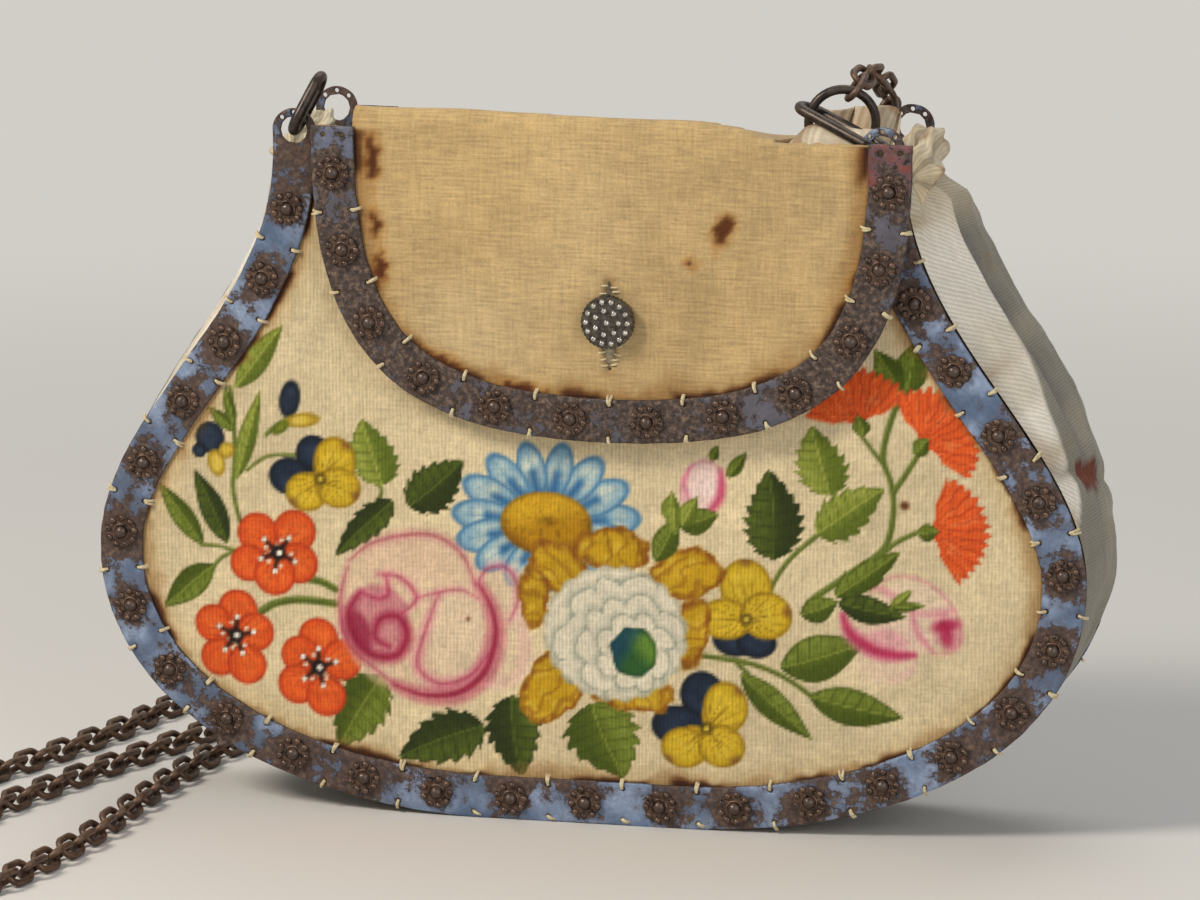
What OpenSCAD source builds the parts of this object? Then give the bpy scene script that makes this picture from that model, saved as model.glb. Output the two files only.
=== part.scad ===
// Painted velvet reticule: two stiff pear-shaped panels edged with riveted steel strip,
// a ribbed silk gusset between them, a buttoned flap over the mouth and a chain handle.
// Millimetres. X runs along the width, Y from front to back, Z up from the surface it stands on.

/* [Bag] */
// Width over the steel edging
bag_w = 240; // [220:1:270]
// Depth over the front and back edgings
bag_d = 40; // [36:1:56]
// Height of the widest place
belly_z = 62; // [56:1:70]
// Width over the edging at the mouth
mouth_w = 152; // [146:1:162]
// Height of the mouth
mouth_z = 160; // [150:1:175]
// Flat stretch along the base
base_w = 44; // [30:1:56]
// Reach of the low curve beside the flat base
base_reach = 56; // [48:1:64]
// Fall of the round side below its widest place
belly_fall = 37; // [30:1:44]
// Rise of the round side above its widest place
belly_rise = 34; // [28:1:40]
// Fall of the hollow shoulder below the mouth
mouth_fall = 40; // [32:1:48]

/* [Cloth] */
// Thickness of the velvet on the panels
velvet_t = 1.6; // [1:0.1:2.2]
// Thickness of the stiff board behind the velvet
board_t = 1.4; // [0.8:0.1:2]
// Thickness of the silk lining
lining_t = 0.6; // [0.4:0.1:1]
// Thickness of the gusset silk with its padding
gusset_t = 1.2; // [0.8:0.1:1.6]
// Depth of the fold down the middle of the gusset
gusset_fold = 5; // [3:0.5:8]
// Thickness of the gathered silk at the corners of the mouth
gather_d = 10; // [7:0.5:11]
// Rise of the gathered silk from the front to the back
gather_rise = 8; // [4:0.5:10]
// Distance of the gathered silk outside the middle of the tabs
gather_out = 2; // [1:0.1:3]
// Distance from the mouth down to the top ends of the gusset
gusset_end = 8.3; // [6:0.1:12]

/* [Steel edging] */
// Width of the strip
strip_w = 10.4; // [9:0.1:11.5]
// Thickness of the strip
strip_t = 0.9; // [0.6:0.1:1.2]
// Rise of the straight tab above the mouth, up to its eyelet
tab_rise = 5; // [4:0.5:7]
// Bore of the eyelet in each tab
eyelet_d = 6.6; // [6:0.1:7]
// Diameter of the sewing holes
stitch_d = 1.1; // [0.8:0.1:1.4]
// Distance of the sewing holes from the edge of the strip
stitch_in = 1.4; // [1.2:0.1:1.8]

/* [Rosettes] */
// Rosettes on each side of the middle one, front and back
rosette_n = 13; // [10:1:14]
// Diameter of a rosette
rosette_d = 8.6; // [7.5:0.1:9]
// Thickness of a rosette
rosette_t = 0.6; // [0.4:0.1:0.8]
// Lobes round a rosette
rosette_lobes = 9; // [7:1:11]
// Diameter of the domed rivet head
rivet_d = 3.4; // [2.8:0.1:4]
// Height of the domed rivet head
rivet_h = 1.4; // [1:0.1:1.6]
// Diameter of the rivet shank
shank_d = 1.6; // [1.2:0.1:2]
// Distance of the last rosette from the mouth
rosette_end = 14; // [10:0.5:16]

/* [Flap] */
// Width over the steel edging of the flap
flap_w = 144; // [140:1:150]
// Shift of the flap to the right of the bag's middle
flap_x = 7; // [4:0.5:8]
// Height of the flap's top above the mouth
flap_rise = 11; // [9:0.2:13]
// Drop of the flap from its top
flap_drop = 77; // [70:0.2:82]
// Height of the round lower part of the flap
flap_round = 69; // [60:1:72]
// Reach of the flat curve at the bottom of the flap
flap_reach = 52; // [44:1:58]
// Part of that height which the side of the flap takes to turn upright
flap_turn = 0.26; // [0.2:0.01:0.4]
// Distance of the ends of the flap's strip below its top
flap_strip_drop = 4; // [2:0.1:5]
// Width over the strip that edges the cloth down the back
back_flap_w = 134; // [126:1:134]
// Rise of the ends of that back strip above the mouth
back_flap_rise = 5; // [3:0.5:6]
// Rise of the hinge line at the back above the mouth
hinge_rise = 1.4; // [1.2:0.1:2]
// Thickness of the flap's velvet
flap_t = 1.2; // [0.8:0.1:1.6]
// Distance from the edging on the panel to the flap
flap_gap = 3.8; // [3.5:0.1:4.4]
// Distance from the middle of the flap to the left end of its fold
fold_left = 62; // [58:0.5:62]
// Distance from the middle of the flap to the right end of its fold
fold_right = 39; // [30:0.5:40]
// Radius of the soft fold along the top front
fold_r = 4; // [2:0.5:5]
// Height of the notched corner of the flap above the mouth
notch_rise = 7; // [4:0.5:7]
// Overlap of the fold with the flat front of the flap
fold_leg = 6; // [4:0.5:8]
// Distance of the lining's top edge below the flap's notched corners
lining_fall = 15; // [14:0.5:20]
// Rosettes on each half of the flap
flap_rosette_n = 6; // [5:1:7]
// Distance of the flap's last rosette from the end of the strip
flap_rosette_end = 11; // [8:0.5:13]

/* [Button] */
// Diameter of the button
button_d = 12.7; // [11:0.1:14]
// Thickness of the button
button_t = 2.2; // [1.6:0.1:3]
// Distance from the top of the flap down to the middle of the button
button_drop = 48; // [44:0.5:52]
// Thickness of the shank
button_shank_d = 2.8; // [2:0.1:3.2]
// Length of the buttonhole
hole_l = 21.6; // [18:0.2:24]
// Part of the buttonhole's length below the button
hole_low = 0.56; // [0.5:0.01:0.6]
// Width of the buttonhole
hole_w = 3.8; // [3.6:0.1:4.4]
// Diameter of a stud
stud_d = 1.5; // [1.2:0.1:1.6]

/* [Links and chain] */
// Wire of the thick links in the eyelets
link_d = 2.6; // [2.2:0.1:2.8]
// Length of the thick link at the right
right_link_l = 27; // [25:0.5:28]
// Length of the thick link at the left
left_link_l = 17; // [15:0.5:20]
// Width of the thick links
link_w = 9.6; // [9.4:0.1:10.4]
// Wire of the ring
ring_wire = 2.2; // [1.8:0.1:2.4]
// Outer diameter of the ring
ring_d = 18; // [16:0.1:19]
// Wire of the chain
chain_wire = 1.7; // [1.5:0.1:1.8]
// Length of a chain link
chain_l = 10.4; // [10.2:0.1:11]
// Width of a chain link
chain_w = 6.6; // [6.4:0.1:7]

/* [Hidden] */
$fn = 48;

clearance = 0.15;
seam_gap = 0.3;
curve_n = 28;

// Distances of the layers from the middle plane, from the outside in
strip_y = bag_d/2 - strip_t;
velvet_y = strip_y - velvet_t;
board_y = velvet_y - board_t;
lining_y = board_y - lining_t;
flap_lining_y = bag_d/2 + flap_gap - lining_t;
flap_y = bag_d/2 + flap_gap;
flap_strip_y = flap_y + flap_t;
back_flap_y = bag_d/2 + rosette_t + rivet_h + clearance;
back_flap_strip_y = back_flap_y + flap_t;

// Set-backs of the cloth layers from the outer edge of the strip
velvet_in = 0.8;
board_in = 2;
lining_in = 4;
gusset_in = 1;

// Heights of the flap and places of the tabs
flap_top = mouth_z + flap_rise;
flap_low = flap_top - flap_drop;
flap_end = flap_top - flap_strip_drop;
back_flap_end = mouth_z + back_flap_rise;
hinge_z = mouth_z + hinge_rise;
notch_z = mouth_z + notch_rise;
button_z = flap_top - button_drop;
gusset_z = mouth_z - gusset_end;
tab_z = mouth_z + tab_rise;
tab_x = mouth_w/2 - strip_w/2;

function unit(v) = v/norm(v);
function bezier(a, b, c, d, t) =
    pow(1 - t, 3)*a + 3*t*pow(1 - t, 2)*b + 3*t*t*(1 - t)*c + pow(t, 3)*d;
function flip(points) = [for (i = [len(points) - 1:-1:0]) points[i]];
function mirrored(points) = [for (p = points) [-p[0], p[1]]];

// Right half of the bag's outline, from the middle of the base up to the mouth
bag_half = concat(
    [[0, 0]],
    [for (i = [0:curve_n]) bezier([base_w/2, 0], [base_w/2 + base_reach, 0],
        [bag_w/2, belly_z - belly_fall], [bag_w/2, belly_z], i/curve_n)],
    [for (i = [1:curve_n]) bezier([bag_w/2, belly_z], [bag_w/2, belly_z + belly_rise],
        [mouth_w/2, mouth_z - mouth_fall], [mouth_w/2, mouth_z], i/curve_n)]);

// Right half of the outline of the flap or of the cloth down the back, from the middle of its
// lower edge up to the end of its strip
function flap_outline(w, end) = concat(
    [for (i = [0:curve_n]) bezier([0, flap_low], [flap_reach*w/flap_w, flap_low],
        [w/2, flap_low + flap_turn*flap_round], [w/2, flap_low + flap_round], i/curve_n)],
    [[w/2, end]]);
flap_half = flap_outline(flap_w, flap_end);
back_flap_half = flap_outline(back_flap_w, back_flap_end);

// Outward normal of a half outline at each of its points
function normals(points) = [
    for (i = [0:len(points) - 1])
        let (a = points[max(i - 1, 0)], b = points[min(i + 1, len(points) - 1)],
             t = i == 0 ? [1, 0] : i == len(points) - 1 ? [0, 1] : unit(b - a))
            [t[1], -t[0]]];

// The same outline moved inwards by a distance
function inset(points, w) =
    let (n = normals(points)) [for (i = [0:len(points) - 1]) points[i] - w*n[i]];

// Length along a path up to each of its points
function lengths(points) = [
    for (i = 0, s = 0; i < len(points);
         s = s + (i + 1 < len(points) ? norm(points[i + 1] - points[i]) : 0), i = i + 1) s];
function last(list) = list[len(list) - 1];

// Value of a list of vectors at a length along a path
function at(values, stops, s) = [
    for (k = [0:len(values[0]) - 1])
        lookup(s, [for (i = [0:len(stops) - 1]) [stops[i], values[i][k]]])];

// Point at a length along a half outline, at a distance inside it, on the right or left
function on_strip(half, w, s, side) =
    let (middle = inset(half, strip_w/2), stops = lengths(middle),
         p = at(middle, stops, s), n = unit(at(normals(half), stops, s)),
         q = p + (strip_w/2 - w)*n)
        [side*q[0], q[1]];
function strip_length(half) = last(lengths(inset(half, strip_w/2)));

// Rosettes on the panels: one in the middle of the base, the rest in pairs up to the mouth
bag_pitch = (strip_length(bag_half) - rosette_end)/rosette_n;
bag_spots = concat(
    [on_strip(bag_half, strip_w/2, 0, 1)],
    [for (side = [-1, 1], k = [1:rosette_n]) on_strip(bag_half, strip_w/2, k*bag_pitch, side)]);

// Rosettes on the flap and down the back: pairs on both sides of the middle
function flap_pitch(half) = (strip_length(half) - flap_rosette_end)/(flap_rosette_n - 0.5);
function flap_spots(half) = [for (side = [-1, 1], k = [1:flap_rosette_n])
    on_strip(half, strip_w/2, (k - 0.5)*flap_pitch(half), side)];

// Sewing holes between the rosettes, near both edges of the strip
bag_stitches = [for (side = [-1, 1], k = [1:rosette_n], w = [stitch_in, strip_w - stitch_in])
    on_strip(bag_half, w, (k - 0.5)*bag_pitch, side)];
tab_stitches = [for (side = [-1, 1], a = [45, 90, 135])
    [side*tab_x, tab_z] + (strip_w/2 - 0.55*(strip_w - eyelet_d)/2)*[cos(a), sin(a)]];
function flap_stitches(half) = concat(
    [for (w = [stitch_in, strip_w - stitch_in]) on_strip(half, w, 0, 1)],
    [for (side = [-1, 1], k = [1:flap_rosette_n - 1], w = [stitch_in, strip_w - stitch_in])
        on_strip(half, w, k*flap_pitch(half), side)],
    [for (side = [-1, 1], w = [0.28, 0.72])
        [side*(last(half)[0] - w*strip_w), last(half)[1] - stitch_in - stitch_d/2]]);

// Places a shape drawn in X and Z on the front of the bag, rising away from the middle plane
module on_front(y) translate([0, -y, 0]) rotate([90, 0, 0]) children();
module on_back(y) mirror([0, 1, 0]) on_front(y) children();

// Round end of a tab, from its outer side over to its inner side
function tab_end() = [for (a = [0:15:180]) [tab_x, tab_z] + strip_w/2*[cos(a), sin(a)]];

module edging(thick) {
    outer = bag_half;
    inner = inset(bag_half, strip_w);
    right = concat(outer, tab_end(), flip(inner));
    left = flip(mirrored(right));
    trimmed = [for (i = [1:len(left) - 2]) left[i]];
    linear_extrude(thick) polygon(concat(right, trimmed));
}

module frame_strip() {
    color("slategray") difference() {
        edging(strip_t);
        for (p = bag_spots) translate([p[0], p[1], -1]) cylinder(d = shank_d + clearance, h = strip_t + 2);
        for (side = [-1, 1]) translate([side*tab_x, tab_z, -1]) cylinder(d = eyelet_d, h = strip_t + 2);
        for (p = concat(bag_stitches, tab_stitches))
            translate([p[0], p[1], -1]) cylinder(d = stitch_d, h = strip_t + 2);
    }
}

// Scalloped plate with the bore for its rivet
module rosette() {
    scallop = rosette_d/11;
    difference() {
        linear_extrude(rosette_t) polygon([
            for (i = [0:4*rosette_lobes - 1])
                let (a = i*90/rosette_lobes, r = rosette_d/2 - scallop*(1 - cos(rosette_lobes*a))/2)
                    r*[cos(a), sin(a)]]);
        translate([0, 0, -1]) cylinder(d = shank_d + clearance, h = rosette_t + 2);
    }
}

// Rivet with a domed head on the rosette and a shank flush with the back of the strip
module rivet() {
    reach = strip_t + rosette_t;
    rotate_extrude() polygon(concat(
        [[0, -reach], [shank_d/2, -reach], [shank_d/2, 0]],
        [for (a = [0:18:90]) [rivet_d/2*cos(a), rivet_h*sin(a)]]));
}

module rosettes(spots) color("saddlebrown") for (p = spots) translate([p[0], p[1], 0]) rosette();
module rivets(spots) color("dimgray") for (p = spots) translate([p[0], p[1], rosette_t]) rivet();

module panel_shape(w) {
    half = inset(bag_half, w);
    polygon(concat(half, flip(mirrored([for (i = [1:len(half) - 1]) half[i]]))));
}

module front_panel() color("wheat") on_front(velvet_y) linear_extrude(velvet_t) panel_shape(velvet_in);
module back_panel() color("wheat") on_back(velvet_y) linear_extrude(velvet_t) panel_shape(velvet_in);
module front_board() color("tan") on_front(board_y) linear_extrude(board_t) panel_shape(board_in);
module back_board() color("tan") on_back(board_y) linear_extrude(board_t) panel_shape(board_in);
module front_lining() color("linen") on_front(lining_y) linear_extrude(lining_t) panel_shape(lining_in);
module back_lining() color("linen") on_back(lining_y) linear_extrude(lining_t) panel_shape(lining_in);

module front_frame() on_front(strip_y) frame_strip();
module back_frame() on_back(strip_y) frame_strip();
module front_rosettes() on_front(bag_d/2) rosettes(bag_spots);
module back_rosettes() on_back(bag_d/2) rosettes(bag_spots);
module front_rivets() on_front(bag_d/2) rivets(bag_spots);
module back_rivets() on_back(bag_d/2) rivets(bag_spots);

// Section of the gusset at its outer face: distance inwards for each place across the depth
gusset_y = board_y - clearance;
gusset_section = [
    [-1, gusset_in], [-0.75, 0], [-0.5, 0.03*gusset_fold], [-0.22, 0.7*gusset_fold], [0, gusset_fold],
    [0.22, 0.7*gusset_fold], [0.5, 0.03*gusset_fold], [0.75, 0], [1, gusset_in]];

module gusset() {
    inner = inset(bag_half, gusset_in);
    picked = concat([0], [for (i = [1:2:len(bag_half) - 1]) if (inner[i][1] < gusset_z + seam_gap) i]);
    half = [for (i = picked) inner[i]];
    normal = [for (i = picked) normals(bag_half)[i]];
    m = len(half);
    path = concat([for (i = [m - 1:-1:1]) [-half[i][0], half[i][1]]], half);
    out = concat([for (i = [m - 1:-1:1]) [-normal[i][0], normal[i][1]]], [for (i = [0:m - 1]) normal[i]]);
    loop = concat(gusset_section, flip([for (g = gusset_section) [g[0], g[1] + gusset_t]]));
    k = len(loop);
    n = len(path);
    points = [for (i = [0:n - 1], g = loop)
        let (p = path[i] - (g[1] - gusset_in + seam_gap)*out[i]) [p[0], g[0]*gusset_y, p[1]]];
    sides = [for (i = [0:n - 2], j = [0:k - 1])
        let (a = i*k + j, b = i*k + (j + 1)%k) [a, a + k, b + k, b]];
    color("silver") polyhedron(points, concat(
        [[for (j = [0:k - 1]) j]], sides, [[for (j = [k - 1:-1:0]) (n - 1)*k + j]]), convexity = 8);
}

// Puckered roll of silk between the front and back tabs at one corner of the mouth
module gather(side) {
    rings = 14;
    sides = 15;
    reach = lining_y - seam_gap;
    base_z = gusset_z + gusset_in + seam_gap + gather_d/2;
    points = [for (i = [0:rings], j = [0:sides - 1])
        let (t = i/rings, a = j*360/sides,
             pucker = 1 - 0.13*(1 - cos(5*a + 300*t))*sin(180*t) - 0.09*(1 + cos(360*t*4)),
             r = gather_d/2*pucker)
            [side*(tab_x + gather_out + r*cos(a)), reach*(2*t - 1), base_z + gather_rise*t + r*sin(a)]];
    walls = [for (i = [0:rings - 1], j = [0:sides - 1])
        let (a = i*sides + j, b = i*sides + (j + 1)%sides)
            side > 0 ? [a, b, b + sides, a + sides] : [a, a + sides, b + sides, b]];
    start = [for (j = [0:sides - 1]) j];
    end = [for (j = [0:sides - 1]) rings*sides + j];
    color("oldlace") polyhedron(points, concat(
        [side > 0 ? flip(start) : start], walls, [side > 0 ? end : flip(end)]), convexity = 6);
}
module left_gather() gather(-1);
module right_gather() gather(1);

// Cloth inside a U-shaped strip, in X and Z, set back from the strip's outer edge, up to a height
module flap_shape(half, w, top) {
    round_part = [for (p = inset(half, w)) if (p[1] < top - seam_gap) p];
    x = last(half)[0] - w;
    polygon(concat(round_part, [[x, top], [-x, top]],
        flip(mirrored([for (i = [1:len(round_part) - 1]) round_part[i]]))));
}

// Fold of the flap seen from its side: down the front, round the soft fold and back down to the hinge
module fold_profile(y_in, thick, z_low) {
    steps = 8;
    back_end = [-(back_flap_y - seam_gap), hinge_z];
    centre = [y_in + thick - fold_r, flap_top - fold_r];
    run = centre - back_end;
    slope = atan2(run[1], run[0]) + asin(fold_r/norm(run));
    inner = max(fold_r - thick, seam_gap);
    arc = [for (i = [0:steps]) let (a = i*(90 + slope)/steps) [cos(a), sin(a)]];
    polygon(concat(
        [[y_in + thick, z_low]], [for (p = arc) centre + fold_r*p],
        [back_end, back_end - thick*last(arc)],
        [for (p = flip(arc)) centre + inner*p], [[y_in, z_low]]));
}
module across_fold() translate([flap_x - fold_left, 0, 0]) rotate([90, 0, 90])
    linear_extrude(fold_left + fold_right) mirror([1, 0, 0]) children();

module at_flap() translate([flap_x, 0, 0]) children();
module buttonhole(y, thick) at_flap() on_front(y - 1) linear_extrude(thick + 2)
    translate([-hole_w/2, button_z - hole_low*hole_l]) square([hole_w, hole_l]);

module flap() {
    color("burlywood") difference() {
        union() {
            at_flap() on_front(flap_y) linear_extrude(flap_t) flap_shape(flap_half, velvet_in, notch_z);
            across_fold() fold_profile(flap_y, flap_t, notch_z - fold_leg);
        }
        buttonhole(flap_y, flap_t);
    }
}

module flap_lining() {
    color("linen") difference() {
        at_flap() on_front(flap_lining_y) linear_extrude(lining_t)
            flap_shape(flap_half, strip_w + velvet_in, notch_z - lining_fall);
        buttonhole(flap_lining_y, lining_t);
    }
}

module flap_strip(half) {
    outer = half;
    inner = inset(half, strip_w);
    right = concat(outer, flip(inner));
    left = flip(mirrored(right));
    color("darkslategray") difference() {
        linear_extrude(strip_t) polygon(concat(right, [for (i = [1:len(left) - 2]) left[i]]));
        for (p = flap_spots(half)) translate([p[0], p[1], -1])
            cylinder(d = shank_d + clearance, h = strip_t + 2);
        for (p = flap_stitches(half)) translate([p[0], p[1], -1]) cylinder(d = stitch_d, h = strip_t + 2);
    }
}

module flap_frame() at_flap() on_front(flap_strip_y) flap_strip(flap_half);
module flap_rosettes() at_flap() on_front(flap_strip_y + strip_t) rosettes(flap_spots(flap_half));
module flap_rivets() at_flap() on_front(flap_strip_y + strip_t) rivets(flap_spots(flap_half));

// The same cloth continues down the back, where it is sewn to the panel and doesn't open
module flap_back() color("burlywood") on_back(back_flap_y) linear_extrude(flap_t)
    flap_shape(back_flap_half, velvet_in, hinge_z);
module flap_back_frame() on_back(back_flap_strip_y) flap_strip(back_flap_half);
module flap_back_rosettes() on_back(back_flap_strip_y + strip_t) rosettes(flap_spots(back_flap_half));
module flap_back_rivets() on_back(back_flap_strip_y + strip_t) rivets(flap_spots(back_flap_half));

// Cut-steel button in front of the flap, on a shank from the panel
button_y = flap_strip_y + 0.4;
module at_button(y) translate([flap_x, 0, button_z]) on_front(y) children();

module button() {
    teeth = 36;
    color("darkslategray") at_button(button_y) {
        linear_extrude(button_t) polygon([
            for (i = [0:2*teeth - 1]) (button_d/2 - (i%2)*0.25)*[cos(i*180/teeth), sin(i*180/teeth)]]);
    }
}

module stud() rotate_extrude() polygon(concat(
    [[0, 0]], [for (a = [0:22.5:90]) [stud_d/2*cos(a), 0.6*stud_d*sin(a)]]));

module button_studs() {
    rows = [[button_d/2 - stud_d/2 - 0.6, 14], [button_d/2 - 1.9*stud_d - 0.6, 7], [0, 1]];
    color("lightgray") at_button(button_y + button_t)
        for (row = rows, k = [0:row[1] - 1])
            rotate([0, 0, k*360/row[1]]) translate([row[0], 0, 0]) stud();
}

module button_shank() {
    foot_h = 0.8;
    color("gray") at_button(strip_y) rotate_extrude() polygon([
        [0, 0], [button_shank_d, 0], [button_shank_d, foot_h], [button_shank_d/2, foot_h],
        [button_shank_d/2, button_y - strip_y], [0, button_y - strip_y]]);
}

// Closed oval link, long along X, lying in the XY plane
module oval_link(l, w, d) {
    r = (w - d)/2;
    s = (l - w)/2;
    for (m = [0, 1]) mirror([m, 0, 0]) translate([s, 0, 0]) rotate([0, 0, -90])
        rotate_extrude(angle = 180) translate([r, 0]) circle(d = d, $fn = 24);
    for (m = [0, 1]) mirror([0, m, 0]) translate([-s, r, 0]) rotate([0, 90, 0])
        cylinder(d = d, h = 2*s, $fn = 24);
}

// Turns a shape so that its X axis runs along a direction and its Z axis lies close to another
module turned(along, face) {
    x = unit(along);
    z = unit(face - (face*x)*x);
    y = cross(z, x);
    multmatrix([
        [x[0], y[0], z[0], 0], [x[1], y[1], z[1], 0], [x[2], y[2], z[2], 0], [0, 0, 0, 1]]) children();
}

// Thick links: the end of each passes through the middle of a front eyelet
function eyelet(side) = [side*tab_x, -(bag_d/2 - strip_t/2 + 2*clearance), tab_z];
function link_centre(side, run, l) = eyelet(side) + (l - link_d)/2*run;

right_run = unit([-0.85, 0.4, 0.33]);
right_face = unit(cross(right_run, [0, 1, 0]));
right_centre = link_centre(1, right_run, right_link_l);
module right_link() color("dimgray") translate(right_centre) turned(right_run, right_face)
    oval_link(right_link_l, link_w, link_d);

left_run = unit([0.36, 0.38, 0.8]);
left_face = unit(cross(left_run, [0, 1, 0]));
left_centre = link_centre(-1, left_run, left_link_l);
module left_link() color("dimgray") translate(left_centre) turned(left_run, left_face)
    oval_link(left_link_l, link_w, link_d);

// Ring hung in the far end of the right link, leaning back over it
ring_r = (ring_d - ring_wire)/2;
ring_lean = 40;
ring_hook = right_centre + (right_link_l/2 - link_d - ring_wire/2 - clearance)*right_run;
ring_out = -cos(ring_lean)*right_run + sin(ring_lean)*unit(cross(right_face, right_run));
ring_centre = ring_hook + ring_r*ring_out;
module right_ring() color("dimgray") translate(ring_centre) turned(ring_out, cross(ring_out, right_face))
    rotate_extrude() translate([ring_r, 0]) circle(d = ring_wire, $fn = 24);

// Chain from the top of the ring down behind the bag and out over the floor to the left
chain_slack = 0.3;
chain_pitch = chain_l - 2*chain_wire - chain_slack;
chain_z = (chain_w - chain_wire)/2*sin(45) + chain_wire/2 + 0.1;
chain_lead = unit([0.05, 0.95, 0.3]);
chain_hook = ring_centre - ring_r*right_face;
chain_start = chain_hook
    - (ring_wire/2 + chain_wire/2 + 2*clearance - (chain_l - chain_wire - chain_pitch)/2)*chain_lead;
chain_route = [
    chain_start, chain_hook + 8*chain_lead, [63.5, 10, 178.5], [64.2, 18, 175], [64, 25.5, 171],
    [63, 30.5, 163], [61, 33, 148], [57, 36, 110], [52, 39, 60], [44, 44, 24], [28, 52, chain_z + 3],
    [0, 60, chain_z], [-50, 66, chain_z], [-82, 58, chain_z], [-97, 42, chain_z], [-103, 22, chain_z],
    [-106, -2, chain_z], [-107.5, -30, chain_z], [-108.5, -62, chain_z], [-112, -92, chain_z],
    [-117, -114, chain_z], [-124, -125, chain_z], [-134, -127, chain_z], [-142, -117, chain_z],
    [-144, -98, chain_z], [-143, -70, chain_z], [-138.5, -44, chain_z], [-129, -11, chain_z],
    [-119.5, 18, chain_z], [-113, 38, chain_z], [-107, 54, chain_z], [-107, 67, chain_z],
    [-115, 76, chain_z], [-125, 73, chain_z], [-130, 60, chain_z], [-133, 42, chain_z],
    [-140, 17, chain_z], [-149.5, -10, chain_z], [-157, -31, chain_z]];

// Smooth curve through the points of a route
function smooth(points, steps) = concat([
    for (i = [0:len(points) - 2], j = [0:steps - 1])
        let (a = points[max(i - 1, 0)], b = points[i], c = points[i + 1],
             d = points[min(i + 2, len(points) - 1)], t = j/steps)
            0.5*(2*b + t*(c - a) + t*t*(2*a - 5*b + 4*c - d) + t*t*t*(3*b - a - 3*c + d))], [last(points)]);
chain_path = smooth(chain_route, 8);
chain_stops = lengths(chain_path);
chain_n = floor(last(chain_stops)/chain_pitch);
chain_joints = [for (i = [0:chain_n]) at(chain_path, chain_stops, i*chain_pitch)];

// The links between two joints of the chain, leaning left and right in turn
module chain_links(first, past) color("dimgray") for (i = [first:past - 1]) {
    a = chain_joints[i];
    b = chain_joints[i + 1];
    t = unit(b - a);
    up = unit([0, t[2]*t[2], 1 - t[2]*t[2]]);
    face = unit(up - (up*t)*t);
    translate((a + b)/2) turned(t, face + (i%2 == 0 ? 1 : -1)*cross(face, t))
        oval_link(chain_l, chain_w, chain_wire);
}

// First joint of the chain that lies on the floor
floor_joint = [for (i = [0:chain_n]) if (chain_joints[i][2] < chain_z + 0.5) i][0];
module chain_hanging() chain_links(0, floor_joint);
module chain_lying() chain_links(floor_joint, chain_n);

front_panel();
back_panel();
front_board();
back_board();
front_lining();
back_lining();
gusset();
left_gather();
right_gather();
front_frame();
front_rosettes();
front_rivets();
back_frame();
back_rosettes();
back_rivets();
flap();
flap_lining();
flap_frame();
flap_rosettes();
flap_rivets();
flap_back();
flap_back_frame();
flap_back_rosettes();
flap_back_rivets();
button();
button_studs();
button_shank();
left_link();
right_link();
right_ring();
chain_hanging();
chain_lying();
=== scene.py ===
import math
import bpy
import numpy as np
from mathutils import Matrix, Vector
from mathutils.geometry import delaunay_2d_cdt


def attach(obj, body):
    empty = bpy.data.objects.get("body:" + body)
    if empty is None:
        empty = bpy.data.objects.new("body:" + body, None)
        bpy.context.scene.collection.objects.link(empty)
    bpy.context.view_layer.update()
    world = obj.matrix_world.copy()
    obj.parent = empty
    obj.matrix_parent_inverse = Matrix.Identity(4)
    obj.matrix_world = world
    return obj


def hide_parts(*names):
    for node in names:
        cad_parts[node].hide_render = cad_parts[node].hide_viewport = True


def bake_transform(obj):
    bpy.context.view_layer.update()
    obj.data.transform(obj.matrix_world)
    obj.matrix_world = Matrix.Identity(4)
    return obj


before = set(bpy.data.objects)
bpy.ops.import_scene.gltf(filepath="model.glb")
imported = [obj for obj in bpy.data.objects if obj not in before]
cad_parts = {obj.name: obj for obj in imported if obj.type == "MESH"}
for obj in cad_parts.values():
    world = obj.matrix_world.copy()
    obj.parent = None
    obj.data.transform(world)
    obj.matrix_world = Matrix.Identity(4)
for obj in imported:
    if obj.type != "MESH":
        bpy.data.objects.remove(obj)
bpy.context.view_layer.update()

scene = bpy.context.scene
mm = 0.001
rng = np.random.default_rng(7)

# camera at the photograph's angle
camera = {"azimuth": 13.0, "elevation": 11.0, "distance": 1.6, "aim": (0.00364, -0.020, 0.0911), "width": 0.28351}


def placeCamera(spec):
    a, e = math.radians(spec["azimuth"]), math.radians(spec["elevation"])
    back = Vector((math.sin(a) * math.cos(e), -math.cos(a) * math.cos(e), math.sin(e)))
    data = bpy.data.cameras.new("camera")
    data.sensor_width = 36.0
    data.lens = 36.0 * spec["distance"] / spec["width"]
    obj = bpy.data.objects.new("camera", data)
    scene.collection.objects.link(obj)
    obj.location = Vector(spec["aim"]) + back * spec["distance"]
    obj.rotation_euler = (-back).to_track_quat("-Z", "Y").to_euler()
    scene.camera = obj


placeCamera(camera)
print("camera placed")


# colours and nodes
def srgb(code):
    return np.array([int(code[i:i + 2], 16) / 255 for i in (1, 3, 5)])


def linear(colour):
    c = srgb(colour) if isinstance(colour, str) else np.asarray(colour)
    c = np.where(c <= 0.04045, c / 12.92, ((c + 0.055) / 1.055) ** 2.4)
    return (*c, 1.0) if c.ndim == 1 else np.hstack([c, np.ones((len(c), 1))])


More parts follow.
